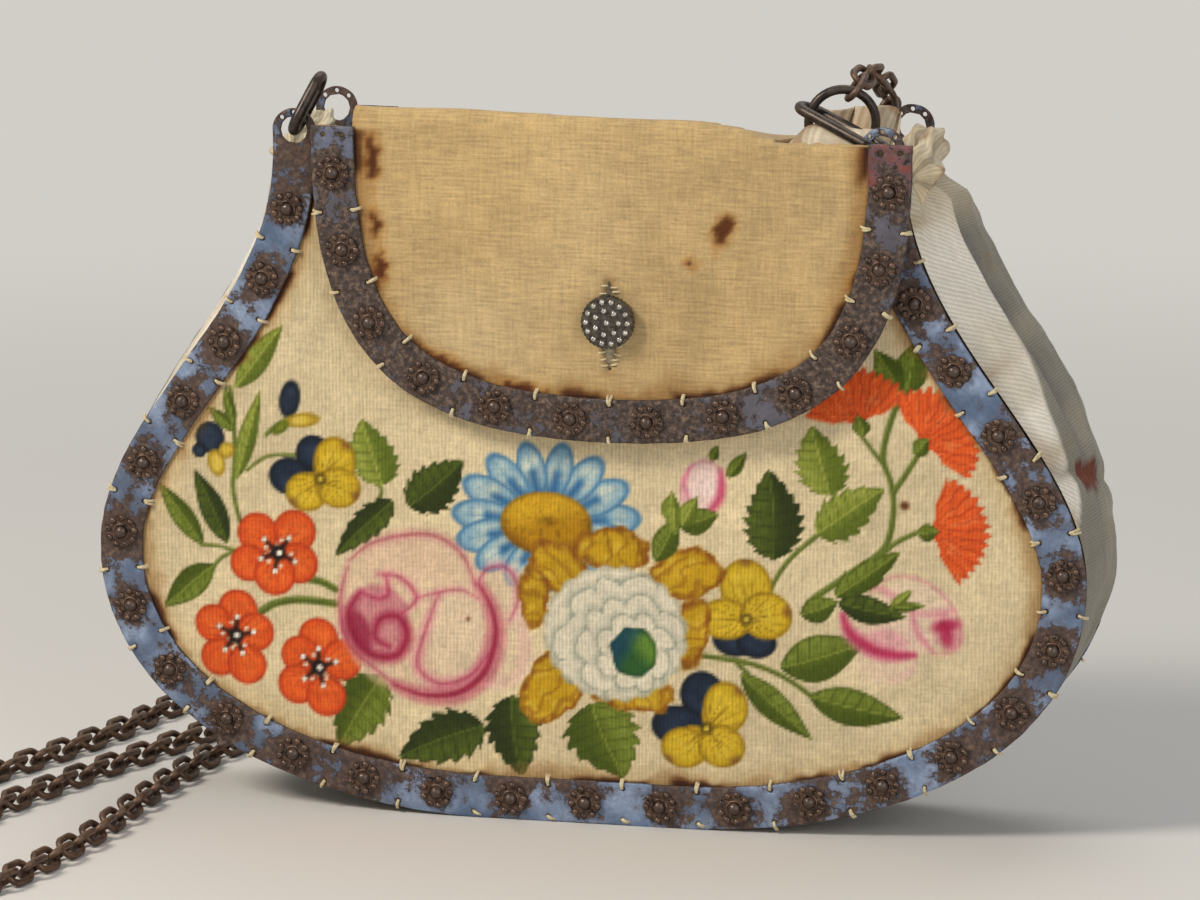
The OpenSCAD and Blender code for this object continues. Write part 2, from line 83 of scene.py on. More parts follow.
def addNode(tree, kind, inputs={}, stops=None, **settings):
    node = tree.nodes.new(kind)
    for key, value in settings.items():
        setattr(node, key, value)
    if stops:
        ramp = node.color_ramp.elements
        while len(ramp) < len(stops):
            ramp.new(0.5)
        for mark, (place, colour) in zip(ramp, stops):
            mark.position = place
            mark.color = linear(colour)
    for key, value in inputs.items():
        for one in value if isinstance(value, list) else [value]:
            if isinstance(one, bpy.types.NodeSocket):
                tree.links.new(one, node.inputs[key])
            else:
                node.inputs[key].default_value = one
    return node


def newMaterial(name):
    material = bpy.data.materials.new(name)
    material.use_nodes = True
    tree = material.node_tree
    return material, tree, tree.nodes["Principled BSDF"]


# fields and paths, all in millimetres
def mottle(x, y, size, seed):  # smooth random field from -1 to 1
    u, v = np.asarray(x, float) / size, np.asarray(y, float) / size
    i, j = np.floor(u), np.floor(v)
    f, g = u - i, v - j
    f, g = f * f * (3 - 2 * f), g * g * (3 - 2 * g)

    def knot(a, b):
        h = np.sin(a * 127.1 + b * 311.7 + seed * 74.7) * 43758.5453
        return 2 * (h - np.floor(h)) - 1
    return (knot(i, j) * (1 - f) + knot(i + 1, j) * f) * (1 - g) + \
        (knot(i, j + 1) * (1 - f) + knot(i + 1, j + 1) * f) * g


def ease(low, high, value):
    t = np.clip((value - low) / (high - low), 0, 1)
    return t * t * (3 - 2 * t)


def bezier(a, b, c, d, n):
    t = np.linspace(0, 1, n + 1)[:, None]
    a, b, c, d = (np.array(p, float) for p in (a, b, c, d))
    return (1 - t) ** 3 * a + 3 * t * (1 - t) ** 2 * b + 3 * t * t * (1 - t) * c + t ** 3 * d


def stopsOf(path):
    return np.concatenate([[0], np.cumsum(np.linalg.norm(np.diff(path, axis=0), axis=1))])


def atLength(values, stops, s):
    return np.stack([np.interp(s, stops, values[:, k]) for k in range(values.shape[1])], -1)


def evenly(path, step):
    stops = stopsOf(path)
    return atLength(path, stops, np.linspace(0, stops[-1], int(round(stops[-1] / step)) + 1))


def smooth(points, steps):  # the same rounding as in the part's source
    p = np.array(points, float)
    out = []
    for i in range(len(p) - 1):
        a, b, c, d = p[max(i - 1, 0)], p[i], p[i + 1], p[min(i + 2, len(p) - 1)]
        for t in np.arange(steps) / steps:
            out.append(0.5 * (2 * b + t * (c - a) + t * t * (2 * a - 5 * b + 4 * c - d)
                              + t ** 3 * (3 * b - a - 3 * c + d)))
    return np.array(out + [p[-1]])


def outward(half):
    t = np.gradient(half, axis=0)
    t[0], t[-1] = (1, 0), (0, 1)
    t /= np.linalg.norm(t, axis=1)[:, None]
    return np.stack([t[:, 1], -t[:, 0]], -1)


def wholeRun(half):  # left end, round the bottom, to the right end
    return np.vstack([half[:0:-1] * (-1, 1), half])


def insideLoop(points, loop):
    x, z = points[:, 0], points[:, 1]
    inside = np.zeros(len(points), bool)
    for a, b in zip(loop, np.roll(loop, -1, axis=0)):
        if a[1] != b[1]:
            cross = (a[1] > z) != (b[1] > z)
            inside ^= cross & (x < (b[0] - a[0]) * (z - a[1]) / (b[1] - a[1]) + a[0])
    return inside


def nearest(points, line):  # nearest place on a line and its distance
    best, place = np.full(len(points), 1e9), np.zeros((len(points), 2))
    for a, b in zip(line[:-1], line[1:]):
        d = b - a
        t = np.clip(((points - a) @ d) / max(d @ d, 1e-12), 0, 1)
        q = a + t[:, None] * d
        r = ((points - q) ** 2).sum(1)
        closer = r < best
        best[closer], place[closer] = r[closer], q[closer]
    return place, np.sqrt(best)


def makePiece(name, verts, faces, material, body, replaces=()):
    mesh = bpy.data.meshes.new(name)
    mesh.from_pydata((np.asarray(verts) * mm).tolist(), [], faces)
    mesh.materials.append(material)
    mesh.validate()
    mesh.shade_smooth()
    obj = bpy.data.objects.new(name, mesh)
    scene.collection.objects.link(obj)
    if body:
        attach(obj, body)
    if replaces:
        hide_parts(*replaces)
    return obj


def tint(obj, name, colours):  # sRGB values for each point
    layer = obj.data.attributes.new(name, "FLOAT_COLOR", "POINT")
    layer.data.foreach_set("color", linear(np.clip(colours, 0, 1)).astype(np.float32).ravel())


def mark(obj, name, values):
    layer = obj.data.attributes.new(name, "FLOAT", "POINT")
    layer.data.foreach_set("value", np.asarray(values, np.float32))


def weave(obj, across, along):  # thread directions for the cloth, in millimetres
    layer = obj.data.attributes.new("thread", "FLOAT_VECTOR", "POINT")
    values = np.stack([across, along, 0 * np.asarray(along, float)], -1)
    layer.data.foreach_set("vector", values.astype(np.float32).ravel())


# measures of the bag and the flap, as in the part's source
bag = {"halfWidth": 120, "bellyZ": 62, "halfMouth": 76, "mouthZ": 160, "halfBase": 22, "baseReach": 56,
       "bellyFall": 37, "bellyRise": 34, "mouthFall": 40, "tabX": 70.8, "tabZ": 165}
strip = {"width": 10.4, "middle": 5.2, "eyelet": 3.3, "hole": 0.55, "holesIn": (1.4, 9.0), "tabHoleRing": 4.155,
         "endHoles": (0.28, 0.72), "endHoleDown": 1.95, "ripple": 0.16, "ragged": 0.2}
# how far the strips' inner and outer faces stand from the bag's middle
depth = {"bagIn": 19.1, "bagOut": 20.0, "flapIn": 25.0, "flapOut": 25.9, "backIn": 23.35, "backOut": 24.25}
# rosettes on each half, and the bare end above them
row = {"bagCount": 13, "bagEnd": 14, "flapCount": 6, "flapEnd": 11}
cloth = {"cutIn": 0.8, "panelFace": 19.06, "panelBack": 17.5, "lining": 15.8, "flapLining": 23.5, "backCloth": 23.33}
flap = {"x": 7, "halfWidth": 72, "low": 94, "round": 69, "reach": 52, "turn": 0.26, "end": 167, "top": 171,
        "foldLeft": -55, "foldRight": 46, "notch": 167, "outerY": -25.0, "hingeY": 21.85, "hingeZ": 161.4,
        "foldR": 4, "backHalf": 67, "backEnd": 165}
bagHalf = evenly(np.vstack([
    [(0, 0)], bezier((bag["halfBase"], 0), (bag["halfBase"] + bag["baseReach"], 0),
                     (bag["halfWidth"], bag["bellyZ"] - bag["bellyFall"]), (bag["halfWidth"], bag["bellyZ"]), 120),
    bezier((bag["halfWidth"], bag["bellyZ"]), (bag["halfWidth"], bag["bellyZ"] + bag["bellyRise"]),
           (bag["halfMouth"], bag["mouthZ"] - bag["mouthFall"]), (bag["halfMouth"], bag["mouthZ"]), 120)[1:]]), 0.9)


def flapHalf(halfWidth, end):
    reach = flap["reach"] * halfWidth / flap["halfWidth"]
    turnZ, roundZ = flap["low"] + flap["turn"] * flap["round"], flap["low"] + flap["round"]
    return evenly(np.vstack([
        bezier((0, flap["low"]), (reach, flap["low"]), (halfWidth, turnZ), (halfWidth, roundZ), 120),
        [(halfWidth, end)]]), 0.9)


def onStrip(half, inward, s, side):
    n = outward(half)
    middle = half - strip["width"] / 2 * n
    stops = stopsOf(middle)
    p, d = atLength(middle, stops, s), atLength(n, stops, s)
    d = d / np.linalg.norm(d)
    return (p + (strip["width"] / 2 - inward) * d) * (side, 1), d * (side, 1)


def runLength(half):
    return stopsOf(half - strip["width"] / 2 * outward(half))[-1]


frontFlap, backFlap = flapHalf(flap["halfWidth"], flap["end"]), flapHalf(flap["backHalf"], flap["backEnd"])
bagPitch = (runLength(bagHalf) - row["bagEnd"]) / row["bagCount"]
bagSteps = [(s, k) for s in (-1, 1) for k in range(1, row["bagCount"] + 1)]
bagSpots = [onStrip(bagHalf, strip["middle"], 0, 1)]
bagSpots += [onStrip(bagHalf, strip["middle"], k * bagPitch, s) for s, k in bagSteps]
bagHoles = [onStrip(bagHalf, w, (k - 0.5) * bagPitch, s) + (w,) for s, k in bagSteps for w in strip["holesIn"]]
tabHoles = [np.array((s * bag["tabX"], bag["tabZ"])) + strip["tabHoleRing"] * np.array((math.cos(a), math.sin(a)))
            for s in (-1, 1) for a in (math.pi / 4, math.pi / 2, 3 * math.pi / 4)]


def flapMarks(half):
    count = row["flapCount"]
    pitch = (runLength(half) - row["flapEnd"]) / (count - 0.5)
    spots = [onStrip(half, strip["middle"], (k - 0.5) * pitch, s) for s in (-1, 1) for k in range(1, count + 1)]
    holes = [onStrip(half, w, 0, 1) + (w,) for w in strip["holesIn"]]
    holes += [onStrip(half, w, k * pitch, s) + (w,) for s in (-1, 1) for k in range(1, count) for w in strip["holesIn"]]
    endX, endZ = half[-1]
    ends = [np.array((s * (endX - w * strip["width"]), endZ - strip["endHoleDown"])) for s in (-1, 1)
            for w in strip["endHoles"]]
    return spots, holes, ends


# materials
def clothMaterial(name, rib, share, slub, rough, sheen, depth):
    # woven cloth: fine ribs over slubby threads, with a soft nap that catches the light
    # the threads are drawn about twice as coarse as real ones, so that they show
    material, tree, shader = newMaterial(name)
    run = addNode(tree, "ShaderNodeAttribute", attribute_name="thread")  # millimetres across and along the ribs
    place = addNode(tree, "ShaderNodeTexCoord")
    paint = addNode(tree, "ShaderNodeAttribute", attribute_name="paint")
    ribs = addNode(tree, "ShaderNodeTexWave", {"Vector": run.outputs["Vector"], "Scale": 0.314 / rib, "Distortion": 3.0,
                   "Detail": 2.0, "Detail Scale": 0.6}, bands_direction="X")
    warpRun = addNode(tree, "ShaderNodeMapping", {"Vector": run.outputs["Vector"], "Scale": (1.5 / rib, 0.14 / rib, 1)})
    warp = addNode(tree, "ShaderNodeTexNoise", {"Vector": warpRun.outputs[0], "Scale": 1.0, "Detail": 2.0})
    weftRun = addNode(tree, "ShaderNodeMapping", {"Vector": run.outputs["Vector"],
                                                  "Scale": (0.12 / slub, 1.4 / slub, 1)})
    weft = addNode(tree, "ShaderNodeTexNoise", {"Vector": weftRun.outputs[0], "Scale": 1.0, "Detail": 2.0})
    nap = addNode(tree, "ShaderNodeTexNoise", {"Vector": place.outputs["Object"], "Scale": 1 / (0.8 * mm),
                                               "Detail": 3.0,
                  "Roughness": 0.6})
    cloud = addNode(tree, "ShaderNodeTexNoise", {"Vector": place.outputs["Object"], "Scale": 1 / (9 * mm),
                                                 "Detail": 3.0})
    lines = addNode(tree, "ShaderNodeMix", {0: share, 2: warp.outputs["Fac"], 3: ribs.outputs["Fac"]})
    woven = addNode(tree, "ShaderNodeMix", {0: 0.36, 2: lines.outputs[0], 3: weft.outputs["Fac"]})
    cloth = addNode(tree, "ShaderNodeMix", {0: 0.3, 2: woven.outputs[0], 3: nap.outputs["Fac"]})
    shade = addNode(tree, "ShaderNodeMapRange", {"Value": cloth.outputs[0], 1: 0.34, 2: 0.64, 3: 1 - depth,
                                                 4: 1 + depth * 0.5})
    drift = addNode(tree, "ShaderNodeMapRange", {"Value": cloud.outputs["Fac"], 1: 0.3, 2: 0.7, 3: 0.92, 4: 1.05})
    both = addNode(tree, "ShaderNodeMath", {0: shade.outputs[0], 1: drift.outputs[0]}, operation="MULTIPLY")
    colour = addNode(tree, "ShaderNodeVectorMath", {0: paint.outputs["Color"], "Scale": both.outputs[0]},
                     operation="SCALE")
    bump = addNode(tree, "ShaderNodeBump", {"Height": cloth.outputs[0], "Strength": 0.5, "Distance": 0.4 * mm})
    tree.links.new(colour.outputs[0], shader.inputs["Base Color"])
    tree.links.new(bump.outputs[0], shader.inputs["Normal"])
    shader.inputs["Roughness"].default_value = rough
    shader.inputs["Sheen Weight"].default_value = sheen
    shader.inputs["Specular IOR Level"].default_value = 0.25
    return material


def rustySteel(name, rusts, cover, speckLow):
    # painted sheet steel, hand cut, its paint flaked away to brown rust: dull, pitted, blotchy
    material, tree, shader = newMaterial(name)
    place = addNode(tree, "ShaderNodeTexCoord")
    paint = addNode(tree, "ShaderNodeAttribute", attribute_name="paint")
    worn = addNode(tree, "ShaderNodeAttribute", attribute_name="rust")
    flakes = addNode(tree, "ShaderNodeTexNoise", {"Vector": place.outputs["Object"], "Scale": 1 / (4.2 * mm),
                     "Detail": 9.0, "Roughness": 0.72})
    pits = addNode(tree, "ShaderNodeTexNoise", {"Vector": place.outputs["Object"], "Scale": 1 / (1.3 * mm),
                   "Detail": 5.0, "Roughness": 0.7})
    spots = addNode(tree, "ShaderNodeTexNoise", {"Vector": place.outputs["Object"], "Scale": 1 / (2.1 * mm),
                    "Detail": 6.0, "Roughness": 0.65, "Distortion": 0.4})
    total = addNode(tree, "ShaderNodeMath", {0: flakes.outputs["Fac"], 1: worn.outputs["Fac"]}, operation="ADD")
    edge = addNode(tree, "ShaderNodeMapRange", {"Value": total.outputs[0], 1: cover - 0.012, 2: cover + 0.018,
                                                3: 0.0, 4: 1.0})
    thin = addNode(tree, "ShaderNodeMapRange", {"Value": total.outputs[0], 1: cover - 0.13, 2: cover - 0.01, 3: 0.0,
                                                4: 0.6})
    brown = addNode(tree, "ShaderNodeValToRGB", {"Fac": pits.outputs["Fac"]}, stops=rusts)
    dusty = addNode(tree, "ShaderNodeMapRange", {"Value": pits.outputs["Fac"], 1: 0.3, 2: 0.7, 3: 0.72, 4: 1.14})
    fleck = addNode(tree, "ShaderNodeVectorMath", {0: paint.outputs["Color"], "Scale": dusty.outputs[0]},
                    operation="SCALE")
    dull = addNode(tree, "ShaderNodeMix", {0: thin.outputs[0], 6: fleck.outputs[0], 7: linear("#5C5A63")},
                   data_type="RGBA")
    coat = addNode(tree, "ShaderNodeMix", {0: edge.outputs[0], 6: dull.outputs[2], 7: brown.outputs[0]},
                   data_type="RGBA")
    speck = addNode(tree, "ShaderNodeMapRange", {"Value": spots.outputs["Fac"], 1: speckLow, 2: speckLow + 0.05,
                                                 3: 0.0, 4: 0.85})
    colour = addNode(tree, "ShaderNodeMix", {0: speck.outputs[0], 6: coat.outputs[2], 7: linear("#211A18")},
                     data_type="RGBA")
    rough = addNode(tree, "ShaderNodeMapRange", {"Value": edge.outputs[0], 1: 0.0, 2: 1.0, 3: 0.44, 4: 0.72})
    relief = addNode(tree, "ShaderNodeMath", {0: pits.outputs["Fac"], 1: edge.outputs[0]}, operation="SUBTRACT")
    bump = addNode(tree, "ShaderNodeBump", {"Height": relief.outputs[0], "Strength": 0.7, "Distance": 0.28 * mm})
    tree.links.new(colour.outputs[2], shader.inputs["Base Color"])
    tree.links.new(rough.outputs[0], shader.inputs["Roughness"])
    tree.links.new(bump.outputs[0], shader.inputs["Normal"])
    shader.inputs["Metallic"].default_value = 0.12
    return material


def forgedIron(name, low, high, worn, metal, roughLow, roughHigh, grit):
    # iron with a brown patina, polished by handling on the places that stand out
    material, tree, shader = newMaterial(name)
    place = addNode(tree, "ShaderNodeTexCoord")
    wear = addNode(tree, "ShaderNodeAttribute", attribute_name="wear")
    rust = addNode(tree, "ShaderNodeTexNoise", {"Vector": place.outputs["Object"], "Scale": 1 / (grit * mm),
                   "Detail": 5.0, "Roughness": 0.65})
    patina = addNode(tree, "ShaderNodeValToRGB", {"Fac": rust.outputs["Fac"]}, stops=[(0.36, low), (0.66, high)])
    rub = addNode(tree, "ShaderNodeMath", {0: wear.outputs["Fac"], 1: rust.outputs["Fac"]}, operation="MULTIPLY")
    bright = addNode(tree, "ShaderNodeMapRange", {"Value": rub.outputs[0], 1: 0.22, 2: 0.5, 3: 0.0, 4: 1.0})
    colour = addNode(tree, "ShaderNodeMix", {0: bright.outputs[0], 6: patina.outputs[0], 7: linear(worn)},
                     data_type="RGBA")
    rough = addNode(tree, "ShaderNodeMapRange", {"Value": rust.outputs["Fac"], 1: 0.3, 2: 0.7, 3: roughLow,
                                                 4: roughHigh})
    bump = addNode(tree, "ShaderNodeBump", {"Height": rust.outputs["Fac"], "Strength": 0.35, "Distance": 0.2 * mm})
    tree.links.new(colour.outputs[2], shader.inputs["Base Color"])
    tree.links.new(rough.outputs[0], shader.inputs["Roughness"])
    tree.links.new(bump.outputs[0], shader.inputs["Normal"])
    shader.inputs["Metallic"].default_value = metal
    return material


velvet = clothMaterial("cottonVelvet", 0.92, 0.28, 0.8, 0.95, 0.12, 0.25)
flapVelvet = clothMaterial("cottonVelvetFlap", 0.95, 0.06, 1.0, 0.95, 0.12, 0.32)
silk = clothMaterial("ribbedSilk", 1.25, 0.55, 1.6, 0.55, 0.08, 0.2)
bluePaint = rustySteel("bluePaintedSteel", [(0.3, "#2F2420"), (0.52, "#54423A"), (0.72, "#7C6654")], 0.635, 0.66)
darkSteel = rustySteel("darkRustedSteel", [(0.32, "#1F1917"), (0.5, "#4B3C35"), (0.7, "#84705F")], 0.56, 0.6)
rosetteIron = forgedIron("stampedIron", "#211815", "#785F4F", "#54463E", 0.5, 0.2, 0.5, 1.2)
chainIron = forgedIron("wroughtIronWire", "#2C221D", "#5A4537", "#6E5645", 0.6, 0.34, 0.58, 2.2)
linkIron = forgedIron("burnishedIronWire", "#1F1B19", "#3C332E", "#4E443D", 0.7, 0.28, 0.5, 3.0)
buttonSteel = forgedIron("cutSteelDisc", "#34312E", "#6E6860", "#8C857D", 0.85, 0.24, 0.44, 1.2)
studSteel = forgedIron("cutSteelStuds", "#A5A19A", "#DEDAD2", "#E2DED6", 0.95, 0.14, 0.26, 1.0)
# thread and pasteboard have the same uneven grain, dull and without metal
thread = forgedIron("linenThread", "#B9A67C", "#E0D4AE", "#E0D4AE", 0.0, 0.8, 0.95, 0.8)
pasteboard = forgedIron("pasteboard", "#8A7453", "#B29A72", "#B29A72", 0.0, 0.85, 0.95, 3.0)
print("materials made")


# geometry node trees for what repeats
def startTree(name, sizes):
    tree = bpy.data.node_groups.new(name, "GeometryNodeTree")
    tree.interface.new_socket("Geometry", in_out="INPUT", socket_type="NodeSocketGeometry")
    for key, value in sizes.items():
        kind = "NodeSocketInt" if isinstance(value, int) else "NodeSocketFloat"
        tree.interface.new_socket(key, in_out="INPUT", socket_type=kind)
    tree.interface.new_socket("Material", in_out="INPUT", socket_type="NodeSocketMaterial")
    tree.interface.new_socket("Geometry", in_out="OUTPUT", socket_type="NodeSocketGeometry")
    return tree, addNode(tree, "NodeGroupInput")


def endTree(tree, given, shape):  # the shape on every point, turned by the point's own angles
    turn = addNode(tree, "GeometryNodeInputNamedAttribute", {"Name": "turn"}, data_type="FLOAT_VECTOR")
    angles = addNode(tree, "FunctionNodeEulerToRotation", {0: turn.outputs["Attribute"]})
    copies = addNode(tree, "GeometryNodeInstanceOnPoints", {"Points": given.outputs["Geometry"], "Instance": shape,
                     "Rotation": angles.outputs[0]})
    real = addNode(tree, "GeometryNodeRealizeInstances", {0: copies.outputs[0]})
    done = addNode(tree, "GeometryNodeSetMaterial", {"Geometry": real.outputs[0],
                                                     "Material": given.outputs["Material"]})
    addNode(tree, "NodeGroupOutput", {0: done.outputs[0]})


def growPiece(name, tree, points, turns, sizes, material, body, replaces=()):
    mesh = bpy.data.meshes.new(name + "Points")
    mesh.from_pydata((np.asarray(points) * mm).tolist(), [], [])
    layer = mesh.attributes.new("turn", "FLOAT_VECTOR", "POINT")
    layer.data.foreach_set("vector", np.asarray(turns, np.float32).ravel())
    carrier = bpy.data.objects.new(name + "Points", mesh)
    scene.collection.objects.link(carrier)
    nodes = carrier.modifiers.new("nodes", "NODES")
    nodes.node_group = tree
    for item in tree.interface.items_tree:
        if item.in_out == "INPUT" and item.name in sizes:
            whole = item.socket_type == "NodeSocketInt"
            nodes[item.identifier] = sizes[item.name] if whole else sizes[item.name] * mm
        elif item.in_out == "INPUT" and item.name == "Material":
            nodes[item.identifier] = material
    bpy.context.view_layer.update()
    graph = bpy.context.evaluated_depsgraph_get()
    made = bpy.data.meshes.new_from_object(carrier.evaluated_get(graph), preserve_all_data_layers=True, depsgraph=graph)
    made.name = name
    carrier.modifiers.remove(nodes)
    bpy.data.objects.remove(carrier)
    obj = bpy.data.objects.new(name, made)
    scene.collection.objects.link(obj)
    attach(obj, body)
    if replaces:
        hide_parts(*replaces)
    return obj


def turnTo(xAxis, zAxis):
    x = Vector(xAxis).normalized()
    z = Vector(zAxis)
    z = (z - z.dot(x) * x).normalized()
    return Matrix((x, z.cross(x), z)).transposed().to_euler("XYZ")[:]


# chain and thick links
linkSizes = {"Length": 10.4, "Width": 6.6, "Wire": 1.7, "Around": 18, "Section": 8}
thickLink = {"Width": 9.6, "Wire": 2.6, "Around": 40, "Section": 16}
leftSizes, rightSizes = {"Length": 17, **thickLink}, {"Length": 27, **thickLink}
ringSizes = {**thickLink, "Length": 18, "Width": 18, "Wire": 2.2}
chain = {"pitch": 6.7, "z": 2.68, "play": 0.3, "ringPlay": 0.15, "ringLean": 40}


def linkTree():
    tree, given = startTree("ovalLink", linkSizes)
    gap = addNode(tree, "ShaderNodeMath", {0: given.outputs["Width"], 1: given.outputs["Wire"]}, operation="SUBTRACT")
    bend = addNode(tree, "ShaderNodeMath", {0: gap.outputs[0], 1: 0.5}, operation="MULTIPLY")
    round_ = addNode(tree, "GeometryNodeCurvePrimitiveCircle",
                     {"Resolution": given.outputs["Around"], "Radius": bend.outputs[0]})
    longer = addNode(tree, "ShaderNodeMath", {0: given.outputs["Length"], 1: given.outputs["Width"]},
                     operation="SUBTRACT")
    shift = addNode(tree, "ShaderNodeMath", {0: longer.outputs[0], 1: 0.5}, operation="MULTIPLY")
    place = addNode(tree, "GeometryNodeInputPosition")
    axes = addNode(tree, "ShaderNodeSeparateXYZ", {0: place.outputs[0]})
    side = addNode(tree, "ShaderNodeMath", {0: axes.outputs["X"]}, operation="SIGN")
    move = addNode(tree, "ShaderNodeMath", {0: side.outputs[0], 1: shift.outputs[0]}, operation="MULTIPLY")
    offset = addNode(tree, "ShaderNodeCombineXYZ", {"X": move.outputs[0]})
    oval = addNode(tree, "GeometryNodeSetPosition", {"Geometry": round_.outputs["Curve"], "Offset": offset.outputs[0]})
    half = addNode(tree, "ShaderNodeMath", {0: given.outputs["Wire"], 1: 0.5}, operation="MULTIPLY")
    section = addNode(tree, "GeometryNodeCurvePrimitiveCircle",
                      {"Resolution": given.outputs["Section"], "Radius": half.outputs[0]})
    wire = addNode(tree, "GeometryNodeCurveToMesh", {"Curve": oval.outputs[0],
                                                     "Profile Curve": section.outputs["Curve"]})
    soft = addNode(tree, "GeometryNodeSetShadeSmooth", {0: wire.outputs[0]})
    rubbed = addNode(tree, "GeometryNodeStoreNamedAttribute",
                     {"Geometry": soft.outputs[0], "Name": "wear", "Value": 0.75},
                     data_type="FLOAT", domain="POINT")
    endTree(tree, given, rubbed.outputs[0])
    return tree


ovalLink = linkTree()


def unit(v):
    return np.array(v, float) / np.linalg.norm(v)


tabFront = {s: np.array((s * bag["tabX"], -19.85, bag["tabZ"])) for s in (-1, 1)}
rightRun, leftRun = unit((-0.85, 0.4, 0.33)), unit((0.36, 0.38, 0.8))
rightFace, leftFace = unit(np.cross(rightRun, (0, 1, 0))), unit(np.cross(leftRun, (0, 1, 0)))
rightMiddle = tabFront[1] + (rightSizes["Length"] - thickLink["Wire"]) / 2 * rightRun
leftMiddle = tabFront[-1] + (leftSizes["Length"] - thickLink["Wire"]) / 2 * leftRun
ringHalf, ringWire = (ringSizes["Width"] - ringSizes["Wire"]) / 2, ringSizes["Wire"] / 2
ringHook = rightMiddle + (rightSizes["Length"] / 2 - thickLink["Wire"] - ringWire - chain["ringPlay"]) * rightRun
lean = math.radians(chain["ringLean"])
ringOut = -math.cos(lean) * rightRun + math.sin(lean) * unit(np.cross(rightFace, rightRun))
ringMiddle = ringHook + ringHalf * ringOut
chainHook = ringMiddle - ringHalf * rightFace
chainLead = unit((0.05, 0.95, 0.3))
linkHang = (linkSizes["Length"] - linkSizes["Wire"] - chain["pitch"]) / 2
cz = chain["z"]
chainRoute = [
    chainHook - (ringWire + linkSizes["Wire"] / 2 + chain["play"] - linkHang) * chainLead, chainHook + 8 * chainLead,
    (63.5, 10, 178.5), (64.2, 18, 175), (64, 25.5, 171), (63, 30.5, 163), (61, 33, 148), (57, 36, 110),
    (52, 39, 60), (44, 44, 24), (28, 52, cz + 3), (0, 60, cz), (-50, 66, cz), (-82, 58, cz), (-97, 42, cz),
    (-103, 22, cz), (-106, -2, cz), (-107.5, -30, cz), (-108.5, -62, cz), (-112, -92, cz), (-117, -114, cz),
    (-124, -125, cz),
    (-134, -127, cz), (-142, -117, cz), (-144, -98, cz), (-143, -70, cz), (-138.5, -44, cz), (-129, -11, cz),
    (-119.5, 18, cz),
    (-113, 38, cz), (-107, 54, cz), (-107, 67, cz), (-115, 76, cz), (-125, 73, cz), (-130, 60, cz), (-133, 42, cz),
    (-140, 17, cz), (-149.5, -10, cz), (-157, -31, cz)]


def makeChain():
    path = smooth(chainRoute, 8)
    stops = stopsOf(path)
    count = int(stops[-1] / chain["pitch"])
    joints = atLength(path, stops, np.arange(count + 1) * chain["pitch"])
    middles, turns = [], []
    for i in range(count):
        a, b = joints[i], joints[i + 1]
        t = unit(b - a)
        up = unit((0, t[2] ** 2, 1 - t[2] ** 2))
        face = unit(up - (up @ t) * t)
        middles.append((a + b) / 2)
        turns.append(turnTo(t, face + (1 if i % 2 == 0 else -1) * np.cross(face, t)))
    obj = growPiece("chain", ovalLink, middles, turns, linkSizes, chainIron, "bag",
                    ["chain_hanging", "chain_lying"])
    return obj


makeChain()
for name, middle, turn, sizes, node in (
        ("leftLink", leftMiddle, turnTo(leftRun, leftFace), leftSizes, "left_link"),
        ("rightLink", rightMiddle, turnTo(rightRun, rightFace), rightSizes, "right_link"),
        ("rightRing", ringMiddle, turnTo(ringOut, np.cross(ringOut, rightFace)), ringSizes, "right_ring")):
    growPiece(name, ovalLink, [middle], [turn], sizes, linkIron, "bag", [node])
print("chain and links made")

# rosettes
rosetteSizes = {"Plate": 3.75, "PlateThick": 0.5, "Bead": 0.88, "BeadRing": 3.3, "Beads": 9, "Collar": 1.85,
                "CollarWire": 0.34, "Dome": 1.6}


